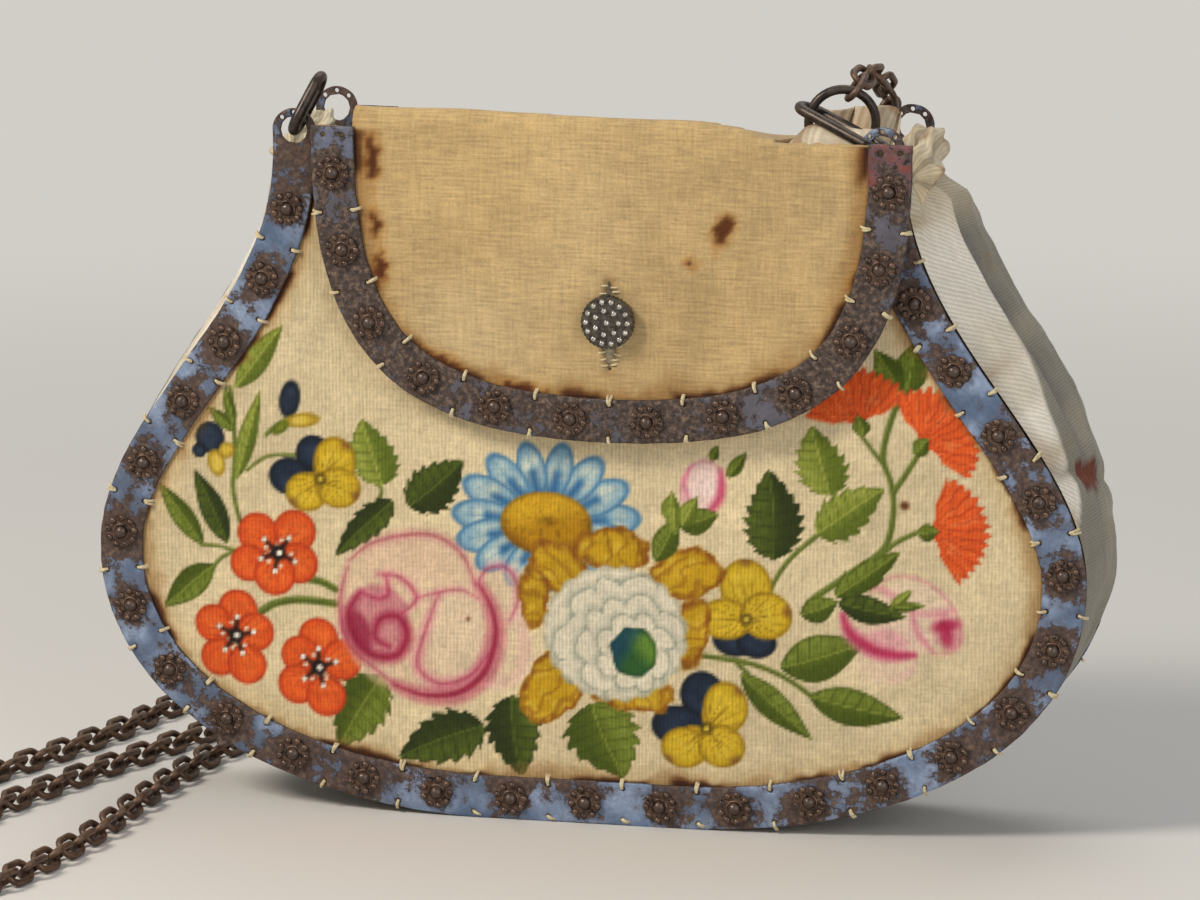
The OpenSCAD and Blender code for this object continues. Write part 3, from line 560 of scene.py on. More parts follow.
def rosetteTree():
    tree, given = startTree("rosette", rosetteSizes)
    size = given.outputs
    lift = addNode(tree, "ShaderNodeMath", {0: size["PlateThick"], 1: 0.5}, operation="MULTIPLY")
    up = addNode(tree, "ShaderNodeCombineXYZ", {"Z": lift.outputs[0]})
    top = addNode(tree, "ShaderNodeCombineXYZ", {"Z": size["PlateThick"]})
    disc = addNode(tree, "GeometryNodeMeshCylinder", {"Vertices": 27, "Radius": size["Plate"],
                                                      "Depth": size["PlateThick"]})
    plate = addNode(tree, "GeometryNodeTransform", {"Geometry": disc.outputs["Mesh"], "Translation": up.outputs[0]})
    ball = addNode(tree, "GeometryNodeMeshUVSphere", {"Segments": 8, "Rings": 6, "Radius": size["Bead"]})
    ring = addNode(tree, "GeometryNodeCurvePrimitiveCircle", {"Resolution": size["Beads"], "Radius": size["BeadRing"]})
    beads = addNode(tree, "GeometryNodeInstanceOnPoints", {"Points": ring.outputs["Curve"],
                                                           "Instance": ball.outputs["Mesh"],
                    "Scale": (1, 1, 0.75)})
    beadMesh = addNode(tree, "GeometryNodeRealizeInstances", {0: beads.outputs[0]})
    beadUp = addNode(tree, "GeometryNodeTransform", {"Geometry": beadMesh.outputs[0], "Translation": top.outputs[0]})
    collarRun = addNode(tree, "GeometryNodeCurvePrimitiveCircle", {"Resolution": 20, "Radius": size["Collar"]})
    collarWire = addNode(tree, "GeometryNodeCurvePrimitiveCircle", {"Resolution": 6, "Radius": size["CollarWire"]})
    collar = addNode(tree, "GeometryNodeCurveToMesh", {"Curve": collarRun.outputs["Curve"],
                                                       "Profile Curve": collarWire.outputs["Curve"]})
    collarUp = addNode(tree, "GeometryNodeTransform", {"Geometry": collar.outputs[0], "Translation": top.outputs[0]})
    head = addNode(tree, "GeometryNodeMeshUVSphere", {"Segments": 16, "Rings": 10, "Radius": size["Dome"]})
    dome = addNode(tree, "GeometryNodeTransform", {"Geometry": head.outputs["Mesh"], "Translation": top.outputs[0],
                                                   "Scale": (1, 1, 0.94)})
    humps = addNode(tree, "GeometryNodeJoinGeometry", {0: [beadUp.outputs[0], collarUp.outputs[0], dome.outputs[0]]})
    soft = addNode(tree, "GeometryNodeSetShadeSmooth", {0: humps.outputs[0]})
    whole = addNode(tree, "GeometryNodeJoinGeometry", {0: [plate.outputs[0], soft.outputs[0]]})
    place = addNode(tree, "GeometryNodeInputPosition")
    axes = addNode(tree, "ShaderNodeSeparateXYZ", {0: place.outputs[0]})
    high = addNode(tree, "ShaderNodeMapRange", {"Value": axes.outputs["Z"], 1: 0.6 * mm, 2: 1.7 * mm, 3: 0.0, 4: 1.0})
    rubbed = addNode(tree, "GeometryNodeStoreNamedAttribute", {"Geometry": whole.outputs[0], "Name": "wear",
                     "Value": high.outputs[0]}, data_type="FLOAT", domain="POINT")
    endTree(tree, given, rubbed.outputs[0])
    return tree


rosette = rosetteTree()
frontMarks, backMarks = flapMarks(frontFlap), flapMarks(backFlap)


def rosetteTurn(side):
    a = rng.uniform(0, 2 * math.pi)
    return turnTo((math.cos(a), 0, math.sin(a)), (0, side, 0))


def makeRosettes():
    points, turns = [], []
    for side, y, spots in ((-1, -depth["bagOut"], bagSpots), (1, depth["bagOut"], bagSpots),
                           (1, depth["backOut"], backMarks[0])):
        for (x, z), _ in spots:
            points.append((x, y, z)), turns.append(rosetteTurn(side))
    growPiece("panelRosettes", rosette, points, turns, rosetteSizes, rosetteIron, "bag",
              ["front_rosettes", "front_rivets", "back_rosettes", "back_rivets", "flap_back_rosettes",
               "flap_back_rivets"])
    points = [(x + flap["x"], -depth["flapOut"], z) for (x, z), _ in frontMarks[0]]
    growPiece("flapRosettes", rosette, points, [rosetteTurn(-1) for _ in points], rosetteSizes, rosetteIron, "flap",
              ["flap_rosettes", "flap_rivets"])


makeRosettes()
print("rosettes made")


# steel strips
def cutPlate(loop, inner, holes, rimIn=0.3):
    # triangles of a plate with holes, fine along its edges
    t = np.roll(loop, -1, axis=0) - np.roll(loop, 1, axis=0)
    n = np.stack([t[:, 1], -t[:, 0]], -1) / np.linalg.norm(t, axis=1)[:, None]
    points, edges, count = [loop, loop - rimIn * n], [], len(loop)
    edges += [(i, (i + 1) % count) for i in range(count)]
    total = 2 * count
    for x, z, r in holes:
        k = 36 if r > 2 else 10
        a = np.arange(k) * 2 * math.pi / k
        ring = np.stack([np.cos(a), np.sin(a)], -1)
        points += [(x, z) + r * ring, (x, z) + (r + 0.22) * ring]
        edges += [(total + i, total + (i + 1) % k) for i in range(k)]
        total += 2 * k
    keep = np.ones(len(inner), bool)
    for x, z, r in holes:
        keep &= np.hypot(inner[:, 0] - x, inner[:, 1] - z) > r + 0.6
    points = np.vstack(points + [inner[keep]])
    verts, _, tris, *_ = delaunay_2d_cdt([Vector(p) for p in points], edges, [], 0, 1e-6)
    co, tri = np.array([v[:] for v in verts]), np.array(tris)
    middle = co[tri].mean(1)
    good = insideLoop(middle, loop)
    for x, z, r in holes:
        good &= np.hypot(middle[:, 0] - x, middle[:, 1] - z) > r * 0.93
    return co, tri[good]


def rimOf(tri):  # directed edges used once
    e = np.vstack([tri[:, [0, 1]], tri[:, [1, 2]], tri[:, [2, 0]]])
    key = np.sort(e, axis=1)
    _, first, times = np.unique(key, axis=0, return_index=True, return_counts=True)
    return e[first[times == 1]]


def plateSolid(co, tri, side, yIn, yOut):
    rim = rimOf(tri)
    onRim = np.zeros(len(co), bool)
    onRim[rim.ravel()] = True
    wave = strip["ripple"] * (1 + mottle(co[:, 0], co[:, 1], 9, 3))
    face = np.where(onRim, yOut - 0.28, yOut - strip["ripple"] + 0.5 * wave)
    n = len(co)
    verts = np.vstack([np.stack([co[:, 0], side * face, co[:, 1]], -1),
                       np.stack([co[:, 0], np.full(n, side * yIn), co[:, 1]], -1)])
    walls = np.stack([rim[:, 1], rim[:, 0], rim[:, 0] + n, rim[:, 1] + n], -1)
    faces = tri.tolist() + (tri[:, ::-1] + n).tolist() + walls.tolist()
    if side > 0:
        faces = [f[::-1] for f in faces]
    return verts, faces, onRim


def stripLoop(half, tab, seed):
    inner = half - strip["width"] * outward(half)
    if tab:
        a = np.radians(np.arange(8, 173, 7.5))
        cap = np.stack([bag["tabX"] + strip["middle"] * np.cos(a), bag["tabZ"] + strip["middle"] * np.sin(a)], -1)
        lift = np.array([(bag["halfMouth"], z) for z in (161.5, 163, 165)])
        cap = np.vstack([lift, cap, lift[::-1] * (0, 1) + (bag["halfMouth"] - strip["width"], 0)])
    else:
        z = half[-1][1]
        cap = np.array([(half[-1][0] - d, z) for d in np.arange(1, 10, 1.2)])
    right = np.vstack([half, cap, inner[::-1]])
    loop = np.vstack([right, right[-2:0:-1] * (-1, 1)])
    t = np.roll(loop, -1, axis=0) - np.roll(loop, 1, axis=0)
    n = np.stack([t[:, 1], -t[:, 0]], -1) / np.linalg.norm(t, axis=1)[:, None]
    ragged = strip["ragged"] * (0.6 * mottle(loop[:, 0], loop[:, 1], 7, seed)
                                + 0.4 * mottle(loop[:, 0], loop[:, 1], 2.1, seed + 1))
    return loop + ragged[:, None] * n


def stripInside(half, tab):
    n, pts = outward(half), []
    for w in np.linspace(1.3, 9.1, 7):
        pts.append((half - w * n)[::2])
    pts = np.vstack(pts)
    if tab:
        a = np.arange(0, 2 * math.pi, 0.3)
        for r in (4.0, 4.5):
            pts = np.vstack([pts, np.stack([bag["tabX"] + r * np.cos(a), bag["tabZ"] + r * np.sin(a)], -1)])
    pts = pts[pts[:, 0] > 0.4]
    return np.vstack([pts, pts * (-1, 1)])


def makeStrip(name, half, tab, shiftX, side, yIn, yOut, spots, holes, material, body, node, colours, cover):
    seed = sum(map(ord, name)) % 50
    co, tri = cutPlate(stripLoop(half, tab, seed), stripInside(half, tab), holes)
    verts, faces, onRim = plateSolid(co, tri, side, yIn, yOut)
    verts[:, 0] += shiftX
    obj = makePiece(name, verts, faces, material, body, [node])
    x, z = np.tile(co[:, 0], 2), np.tile(co[:, 1], 2)
    gap = np.min([np.hypot(x - s[0][0], z - s[0][1]) for s in spots], axis=0)
    rust = 0.13 * (1 - ease(3.5, 8.0, gap)) + 0.07 * np.tile(onRim, 2) + 0.12 * mottle(x, z, 13, seed) + 0.06
    mark(obj, "rust", rust + cover(x, z))
    tint(obj, "paint", colours(x, z))
    return obj


def blueCoat(x, z):
    light = ease(-0.7, 0.8, mottle(x, z, 7, 4) + 0.4 * mottle(x, z, 2.5, 14))[:, None]
    return srgb("#566984") * (1 - light) + srgb("#92A3BE") * light


def darkCoat(x, z):
    base = np.tile(srgb("#57545C"), (len(x), 1)) * (1 + 0.2 * mottle(x, z, 4, 8))[:, None]
    blue = (0.7 * ease(0.0, 0.7, mottle(x, z, 9, 3) - 0.35 + 0.9 * ease(157, 161, z) * (x < -40)))[:, None]
    base = base * (1 - blue) + srgb("#6E7A92") * blue
    red = (ease(150, 156, z + 2.5 * mottle(x, z, 3, 2)) * (x > 40))[:, None]
    brick = srgb("#763A2E") * (1 + 0.22 * mottle(x, z, 1.8, 6))[:, None]
    return base * (1 - red) + brick * red


def tabCover(x, z):  # the paint is nearly gone from the tabs
    return 0.085 * ease(138, 160, z)


def flapCover(x, z):
    return 0.06 - 0.14 * ease(150, 156, z) * (x > 40) - 0.02 * ease(120, 156, z) * (x < -40)


panelHoles = [(*p, strip["hole"]) for p in [b[0] for b in bagHoles] + tabHoles]
panelHoles += [(s * bag["tabX"], bag["tabZ"], strip["eyelet"]) for s in (-1, 1)]


def flapHoles(marks):
    return [(*p, strip["hole"]) for p in [m[0] for m in marks[1]] + marks[2]]


for name, side, node in (("frontStrip", -1, "front_frame"), ("backStrip", 1, "back_frame")):
    makeStrip(name, bagHalf, True, 0, side, depth["bagIn"], depth["bagOut"], bagSpots, panelHoles, bluePaint, "bag",
              node, blueCoat, tabCover)
makeStrip("flapStrip", frontFlap, False, flap["x"], -1, depth["flapIn"], depth["flapOut"], frontMarks[0],
          flapHoles(frontMarks), darkSteel, "flap", "flap_frame", darkCoat, flapCover)
makeStrip("backFlapStrip", backFlap, False, 0, 1, depth["backIn"], depth["backOut"], backMarks[0],
          flapHoles(backMarks), darkSteel, "bag", "flap_back_frame", darkCoat, flapCover)
print("strips cut")

# sewing thread
stitchSizes = {"Reach": 2.1, "Thread": 0.36, "Bow": 0.5, "Fall": 1.0, "Steps": 7}
stitchSink = 0.05  # into the strip's face


def stitchTree():
    tree, given = startTree("stitch", stitchSizes)
    size = given.outputs
    run = addNode(tree, "GeometryNodeMeshLine", {"Count": size["Steps"]})
    index = addNode(tree, "GeometryNodeInputIndex")
    last = addNode(tree, "ShaderNodeMath", {0: size["Steps"], 1: 1.0}, operation="SUBTRACT")
    t = addNode(tree, "ShaderNodeMath", {0: index.outputs[0], 1: last.outputs[0]}, operation="DIVIDE")
    x = addNode(tree, "ShaderNodeMath", {0: t.outputs[0], 1: size["Reach"]}, operation="MULTIPLY")
    angle = addNode(tree, "ShaderNodeMath", {0: t.outputs[0], 1: math.pi}, operation="MULTIPLY")
    wave = addNode(tree, "ShaderNodeMath", {0: angle.outputs[0]}, operation="SINE")
    arch = addNode(tree, "ShaderNodeMath", {0: wave.outputs[0], 1: size["Bow"]}, operation="MULTIPLY")
    steep = addNode(tree, "ShaderNodeMath", {0: t.outputs[0], 1: 3.0}, operation="POWER")
    fall = addNode(tree, "ShaderNodeMath", {0: steep.outputs[0], 1: size["Fall"]}, operation="MULTIPLY")
    z = addNode(tree, "ShaderNodeMath", {0: arch.outputs[0], 1: fall.outputs[0]}, operation="SUBTRACT")
    where = addNode(tree, "ShaderNodeCombineXYZ", {"X": x.outputs[0], "Z": z.outputs[0]})
    bent = addNode(tree, "GeometryNodeSetPosition", {"Geometry": run.outputs["Mesh"], "Position": where.outputs[0]})
    curve = addNode(tree, "GeometryNodeMeshToCurve", {0: bent.outputs[0]})
    section = addNode(tree, "GeometryNodeCurvePrimitiveCircle", {"Resolution": 6, "Radius": size["Thread"]})
    tube = addNode(tree, "GeometryNodeCurveToMesh", {"Curve": curve.outputs[0],
                                                     "Profile Curve": section.outputs["Curve"],
                   "Fill Caps": True})
    soft = addNode(tree, "GeometryNodeSetShadeSmooth", {0: tube.outputs[0]})
    endTree(tree, given, soft.outputs[0])
    return tree


stitch = stitchTree()


def stitchPlaces(holes, shiftX, side, y, double):
    points, turns = [], []
    for (x, z), n, w in holes:
        way = n if w < 5 else -n  # over the nearer edge of the strip
        for _ in range(2 if double else 1):
            a = rng.uniform(-0.35, 0.35)
            d = [way[0] * math.cos(a) - way[1] * math.sin(a), way[0] * math.sin(a) + way[1] * math.cos(a)]
            low = (0.5 - z) / stitchSizes["Reach"]
            if d[1] < low:  # the lowest ones slant, so that none goes under the bag
                d = [math.sqrt(1 - low * low), low]
            points.append((x + shiftX + rng.uniform(-0.25, 0.25), side * (y - stitchSink), z + rng.uniform(-0.1, 0.25)))
            turns.append(turnTo((d[0], 0, d[1]), (0, side, 0)))
    return points, turns


def makeStitches():
    places = [stitchPlaces(bagHoles, 0, -1, depth["bagOut"], True),
              stitchPlaces(bagHoles, 0, 1, depth["bagOut"], False),
              stitchPlaces(backMarks[1], 0, 1, depth["backOut"], False)]
    growPiece("panelStitches", stitch, sum((p for p, _ in places), []), sum((t for _, t in places), []), stitchSizes,
              thread, "bag")
    points, turns = stitchPlaces(frontMarks[1], flap["x"], -1, depth["flapOut"], True)
    growPiece("flapStitches", stitch, points, turns, stitchSizes, thread, "flap")


makeStitches()
print("stitches sewn")


# cloth
def clothGrid(xs, zs, inside, edgeLine):
    # cells whose middles are inside, with the outer points drawn onto the cut line
    gx, gz = np.meshgrid(xs, zs)
    points = np.stack([gx.ravel(), gz.ravel()], -1)
    w, h = len(xs), len(zs)
    cell = (np.arange(h - 1)[:, None] * w + np.arange(w - 1)[None, :]).ravel()
    middle = (points[cell] + points[cell + w + 1]) / 2
    cell = cell[inside(middle)]
    quads = np.stack([cell, cell + 1, cell + w + 1, cell + w], -1)
    used = np.unique(quads)
    index = np.full(len(points), -1)
    index[used] = np.arange(len(used))
    points, quads = points[used], index[quads]
    e = np.vstack([quads[:, [k, (k + 1) % 4]] for k in range(4)])
    _, first, times = np.unique(np.sort(e, axis=1), axis=0, return_index=True, return_counts=True)
    rim = e[first[times == 1]]
    border = np.unique(rim)
    if edgeLine is not None:
        points[border] = nearest(points[border], edgeLine)[0]
    return points, quads, rim


def withWalls(front, quads, rim, back):  # front and back are the same points at two depths
    n = len(front)
    border = np.unique(rim)
    index = np.full(n, -1)
    index[border] = n + np.arange(len(border))
    walls = np.stack([rim[:, 1], rim[:, 0], index[rim[:, 0]], index[rim[:, 1]]], -1)
    return np.vstack([front, back[border]]), np.vstack([quads, walls]).tolist(), border


def flatArea(line):  # square metres inside a closed line
    return abs(np.sum(line[:-1, 0] * line[1:, 1] - line[1:, 0] * line[:-1, 1])) / 2 * 1e-6


def gridQuads(wide, deep):
    c = (np.arange(wide - 1)[:, None] * deep + np.arange(deep - 1)[None, :]).ravel()
    return np.stack([c, c + deep, c + deep + 1, c + 1], -1)


def closedLine(half):
    run = wholeRun(half)
    return np.vstack([run, run[:1]])


# painting on the front panel: places in millimetres on the panel
def lay(canvas, code, mask):
    canvas += (srgb(code) - canvas) * np.clip(mask, 0, 1)[:, None]


def ovalMask(x, z, cx, cz, a, b, turn=0.0, soft=0.5):
    c, s = math.cos(math.radians(turn)), math.sin(math.radians(turn))
    u, v = (x - cx) * c + (z - cz) * s, -(x - cx) * s + (z - cz) * c
    d = (np.sqrt((u / a) ** 2 + (v / b) ** 2) - 1) * min(a, b)
    return ease(soft, -soft, d), d


def lineMask(x, z, points, width, soft=0.35, taper=0.0):
    path = smooth(points, 6) if len(points) > 2 else np.array(points, float)
    stops = stopsOf(path)
    best, along = np.full(len(x), 1e9), np.zeros(len(x))
    p = np.stack([x, z], -1)
    (lowX, lowZ), (highX, highZ) = path.min(0) - 4, path.max(0) + 4
    near = (x > lowX) & (x < highX) & (z > lowZ) & (z < highZ)
    q, b, t0 = p[near], best[near], along[near]
    for a, c, s in zip(path[:-1], path[1:], stops[:-1]):
        d = c - a
        t = np.clip(((q - a) @ d) / max(d @ d, 1e-9), 0, 1)
        r = np.linalg.norm(q - a - t[:, None] * d, axis=1)
        closer = r < b
        b[closer], t0[closer] = r[closer], ((s + t * np.linalg.norm(d)) / stops[-1])[closer]
    best[near], along[near] = b, t0
    half = width / 2 * (1 - taper * np.abs(2 * along - 1) ** 2)
    return ease(soft, -soft, best - half)


greens = [("#222B0E", "#3A4614", "#5A6A20"), ("#38450F", "#5D6B1B", "#84903A"), ("#4C5A18", "#76832A", "#A2A64C")]


def paintLeaf(canvas, x, z, bx, bz, tx, tz, width, teeth, tone):
    d = np.array((tx - bx, tz - bz))
    long = np.linalg.norm(d)
    d = d / long
    t = ((x - bx) * d[0] + (z - bz) * d[1]) / long
    v = -(x - bx) * d[1] + (z - bz) * d[0]
    near = (t > -0.15) & (t < 1.15) & (np.abs(v) < width)
    t, v = t[near], v[near]
    v = v + 0.06 * width * np.sin(t * 2.6 + tone)
    tt = np.clip(t, 0, 1)
    half = width / 2 * np.sin(math.pi * tt ** (0.72 if teeth else 0.82)) ** (0.8 if teeth else 0.95)
    if teeth:
        saw = (tt * teeth + 0.25 * np.abs(v) / width) % 1
        half = half * (0.8 + 0.26 * saw)
    side = half - np.abs(v)
    mask = ease(-0.35, 0.35, side) * ((t > 0) & (t < 1))
    dark, mid, light = greens[tone]
    part = canvas[near]
    lay(part, mid, mask)
    lay(part, light, mask * ease(-0.2, 0.6, v / np.maximum(half, 0.5))
        * (0.55 + 0.3 * mottle(x[near], z[near], 1.6, 5)))
    lay(part, dark, mask * ease(0.25, -0.6, v / np.maximum(half, 0.5)) * 0.55)
    lay(part, dark, mask * ease(0.9, 0.0, side) * 0.6)
    ribs = np.abs(((tt * 7 - 0.9 * np.abs(v) / np.maximum(width, 1)) % 1) - 0.5)
    lay(part, dark, mask * ease(0.13, 0.03, ribs) * 0.45 * (long > 9))
    lay(part, light, mask * ease(0.36, 0.08, np.abs(v)) * 0.75)
    canvas[near] = part


def paintPetal(canvas, x, z, cx, cz, a, b, turn, fill, edge, pale=None, toward=None):
    near = (np.abs(x - cx) < 1.4 * max(a, b)) & (np.abs(z - cz) < 1.4 * max(a, b))
    part, px, pz = canvas[near], x[near], z[near]
    wob = 1 + 0.07 * mottle(px, pz, 2.4, cx)
    d = ovalMask(px, pz, cx, cz, a, b, turn)[1]
    mask = ease(0.4, -0.4, d * wob)
    lay(part, fill, mask)
    if pale:
        lay(part, pale, mask * ease(0.0, -0.6 * min(a, b), d) * (0.55 + 0.4 * mottle(px, pz, 2.0, cz)))
    lay(part, edge, mask * ease(-1.1, 0.1, d) * 0.7)
    if toward is not None:
        ang = np.arctan2(pz - toward[1], px - toward[0])
        rad = np.hypot(px - toward[0], pz - toward[1])
        veins = ease(0.62, 0.97, np.cos(ang * 21 + 2)) * ease(1.15 * (a + b), 1.0, rad)
        lay(part, edge, mask * veins * 0.55)
    canvas[near] = part


leaves = [
    (-86.2, 102.4, -73.8, 117.6, 6.2, 0, 2), (-86.2, 80.0, -79.4, 101.8, 4.5, 0, 2),
    (-86.2, 91.6, -92.9, 97.3, 3.2, 0, 1),
    (-86.5, 92.8, -88.6, 102.3, 2.8, 0, 1), (-88.2, 64.3, -96.6, 81.8, 6.2, 0, 0),
    (-94.6, 63.5, -105.4, 78.4, 5.4, 0, 1),
    (-91.3, 58.6, -104.5, 47.8, 7.1, 0, 1), (-50.4, 79.9, -53.9, 96.1, 12.1, 7, 2),
    (-43.2, 75.3, -30.2, 87.4, 11.9, 7, 0),
    (-47.0, 76.5, -61.0, 62.5, 7.6, 6, 0), (-49.5, 32.9, -61.3, 15.7, 14.0, 6, 1),
    (-24.9, 22.7, -45.8, 13.3, 13.1, 6, 0),
    (-18.2, 30.3, -15.3, 10.8, 13.8, 7, 0), (2.4, 29.8, 8.8, 11.5, 18.8, 6, 1), (45.6, 66.6, 43.8, 88.0, 14.6, 8, 0),
    (58.1, 82.3, 55.3, 99.0, 12.6, 7, 2), (55.5, 73.8, 72.1, 84.1, 11.2, 6, 2), (76.2, 107.5, 79.2, 119.9, 7.8, 0, 1),
    (75.1, 107.7, 69.5, 117.8, 6.5, 0, 1), (47.1, 41.1, 67.5, 47.1, 11.0, 0, 1), (38.0, 38.9, 54.8, 23.4, 7.1, 0, 1),
    (54.4, 34.4, 76.8, 29.6, 9.0, 0, 1), (60.2, 58.8, 75.7, 69.5, 6.9, 3, 1), (61.1, 57.0, 77.2, 54.4, 6.5, 0, 0),
    (52.0, 53.9, 61.1, 57.0, 6.2, 0, 1), (16.5, 66.4, 23.2, 73.9, 5.0, 0, 2), (19.0, 75.5, 20.8, 81.0, 2.8, 0, 2),
    (34.1, 85.9, 38.9, 91.9, 3.2, 0, 1), (30.3, 89.6, 32.0, 93.4, 2.4, 0, 1)]
stems = [
    ([(-84.7, 68.8), (-86.7, 77.2), (-86.2, 86.5), (-86.7, 97.7), (-87.3, 102.3)], 1.1),
    ([(-83.4, 82.3), (-78.0, 86.0), (-70.5, 86.7)], 0.7), ([(-86.2, 62.7), (-90.6, 63.5), (-94.9, 63.7)], 0.8),
    ([(-86.2, 62.7), (-89.6, 60.8), (-91.6, 58.6)], 0.8), ([(-78.4, 91.2), (-75.9, 93.5), (-73.3, 95.2)], 0.9),
    ([(-68.8, 56.5), (-64.9, 55.9), (-61.5, 54.3)], 1.9), ([(-80.0, 47.9), (-76.1, 50.2), (-69.6, 51.3),
                                                            (-61.5, 50.7)], 1.9),
    ([(-53.9, 71.5), (-50.0, 78.1), (-50.7, 80.4)], 0.9),
    ([(76.8, 109.6), (74.7, 104.9), (72.3, 97.4), (71.6, 91.7), (73.7, 85.3), (74.0, 77.8), (71.8, 70.3),
      (63.9, 64.1), (55.5, 58.0)], 1.5),
    ([(66.2, 97.4), (69.5, 93.1), (71.4, 90.8)], 1.1), ([(74.0, 83.8), (77.4, 89.1), (80.2, 93.8)], 1.3),
    ([(70.0, 67.9), (75.1, 72.2), (80.5, 75.0)], 1.1), ([(55.7, 72.7), (49.9, 67.4), (46.2, 62.2), (44.5, 58.2)], 1.1),
    ([(28.6, 42.5), (39.6, 41.3), (48.0, 38.4), (54.6, 34.2)], 1.3), ([(36.8, 41.1), (39.6, 38.7)], 1.1)]
orangeFlowers = [
    ((-75.6, 62.5), [(-80.6, 67.1, 5.0), (-71.4, 68.0, 5.2), (-83.0, 59.7, 4.5), (-70.7, 60.2, 5.0),
                     (-76.5, 57.3, 5.2)]),
    ((-86.4, 41.7), [(-85.8, 48.1, 4.9), (-91.8, 44.4, 4.7), (-81.5, 42.8, 4.7), (-90.5, 36.2, 4.7),
                     (-83.7, 34.7, 4.9)]),
    ((-65.8, 34.8), [(-65.8, 42.1, 4.9), (-60.0, 37.0, 5.0), (-70.3, 37.7, 4.7), (-71.0, 30.5, 4.9),
                     (-64.0, 27.9, 5.0)])]
pansies = [
    ((-64.9, 81.0), [(-66.9, 88.1, 3.9, 4.1), (-73.7, 81.4, 4.7, 4.1)],
     [(-60.8, 86.2, 4.7, 5.4), (-69.0, 77.2, 4.7, 4.3), (-59.8, 78.8, 5.0, 4.5)]),
    ((39.1, 51.8), [(35.9, 46.0, 4.9, 3.7), (41.9, 45.5, 4.4, 3.5)],
     [(38.9, 60.8, 5.7, 6.2), (33.2, 51.6, 5.9, 4.5), (44.6, 53.1, 5.7, 5.2)]),
    ((29.5, 24.8), [(28.4, 34.3, 4.9, 5.2), (21.7, 25.2, 6.0, 4.5)],
     [(34.9, 31.1, 4.9, 5.7), (23.3, 19.1, 5.2, 4.5), (33.7, 20.0, 5.2, 4.7)])]
ochrePetals = [(6.4, 67.2, 8.0, 4.4, 0), (-6.5, 61.9, 7.0, 4.9, 40), (-12.6, 54.5, 3.3, 6.9, 0),
               (24.5, 62.1, 7.7, 5.2, -15),
               (25.5, 48.1, 4.0, 7.7, 10), (-7.8, 33.4, 5.9, 8.4, 35), (11.1, 32.8, 9.4, 4.0, 8)]
carnations = [((66.3, 98.5), (63.9, 108.3), 11.9, 66), ((79.8, 94.6), (85.6, 100.0), 12.1, 72),
              ((81.5, 74.8), (89.1, 75.6), 12.3, 62)]
roseLines = {
    "edge": [(-57.9, 61.5), (-52.8, 65.7), (-45.3, 68.1), (-36.9, 68.5), (-30.2, 64.4), (-27.0, 57.0)],
    "left": [(-58.4, 60.0), (-60.1, 52.6), (-59.8, 45.2), (-57.2, 39.5), (-52.6, 35.9), (-46.8, 31.5)],
    "under": [(-46.8, 31.5), (-39.7, 29.4), (-31.3, 30.4), (-24.9, 35.6), (-22.0, 44.3), (-22.9, 51.3), (-25.9, 57.0)],
    "heart": [(-55.4, 53.7), (-58.2, 48.8), (-57.0, 43.4), (-52.8, 38.8), (-46.4, 38.8), (-43.8, 43.7), (-45.8, 48.2),
              (-50.4, 47.5), (-51.6, 43.0), (-48.3, 40.8)],
    "inner": [(-50.9, 58.5), (-45.3, 57.9), (-41.4, 53.1), (-45.1, 49.1)],
    "curl": [(-55.0, 53.7), (-50.9, 52.5), (-48.3, 53.9), (-49.0, 58.3)],
    "big": [(-36.0, 54.2), (-39.1, 45.7), (-41.2, 36.7), (-36.0, 32.5), (-28.5, 34.6), (-23.8, 40.3)],
    "bigTop": [(-41.4, 53.1), (-36.0, 54.7), (-30.4, 55.6), (-26.2, 53.5)],
    "right": [(-26.6, 56.8), (-24.2, 60.8), (-20.3, 61.8), (-17.3, 59.3), (-16.5, 53.7), (-18.6, 48.5)],
    "rightLow": [(-16.4, 50.0), (-14.5, 41.7), (-17.3, 34.5), (-23.8, 32.8)]}
rosebudLines = {
    "rim": [(68.3, 59.3), (71.2, 62.5), (76.9, 64.1), (82.7, 62.5), (87.3, 58.7), (90.2, 53.4), (90.5, 49.3),
            (87.3, 46.0), (83.9, 46.0)],
    "rimLeft": [(69.0, 61.2), (72.0, 60.4), (76.0, 58.4)],
    "fold": [(62.2, 54.0), (64.2, 49.6), (69.6, 46.0), (74.5, 45.0), (79.4, 45.2)],
    "shade": [(69.5, 49.6), (73.0, 49.0), (77.0, 48.0)],
    "inner": [(78.7, 55.8), (82.7, 55.2), (89.0, 56.6)],
    "side": [(78.7, 55.8), (80.2, 50.6), (83.9, 46.0)],
    "low": [(79.2, 44.0), (78.6, 41.0), (73.5, 38.6)]}


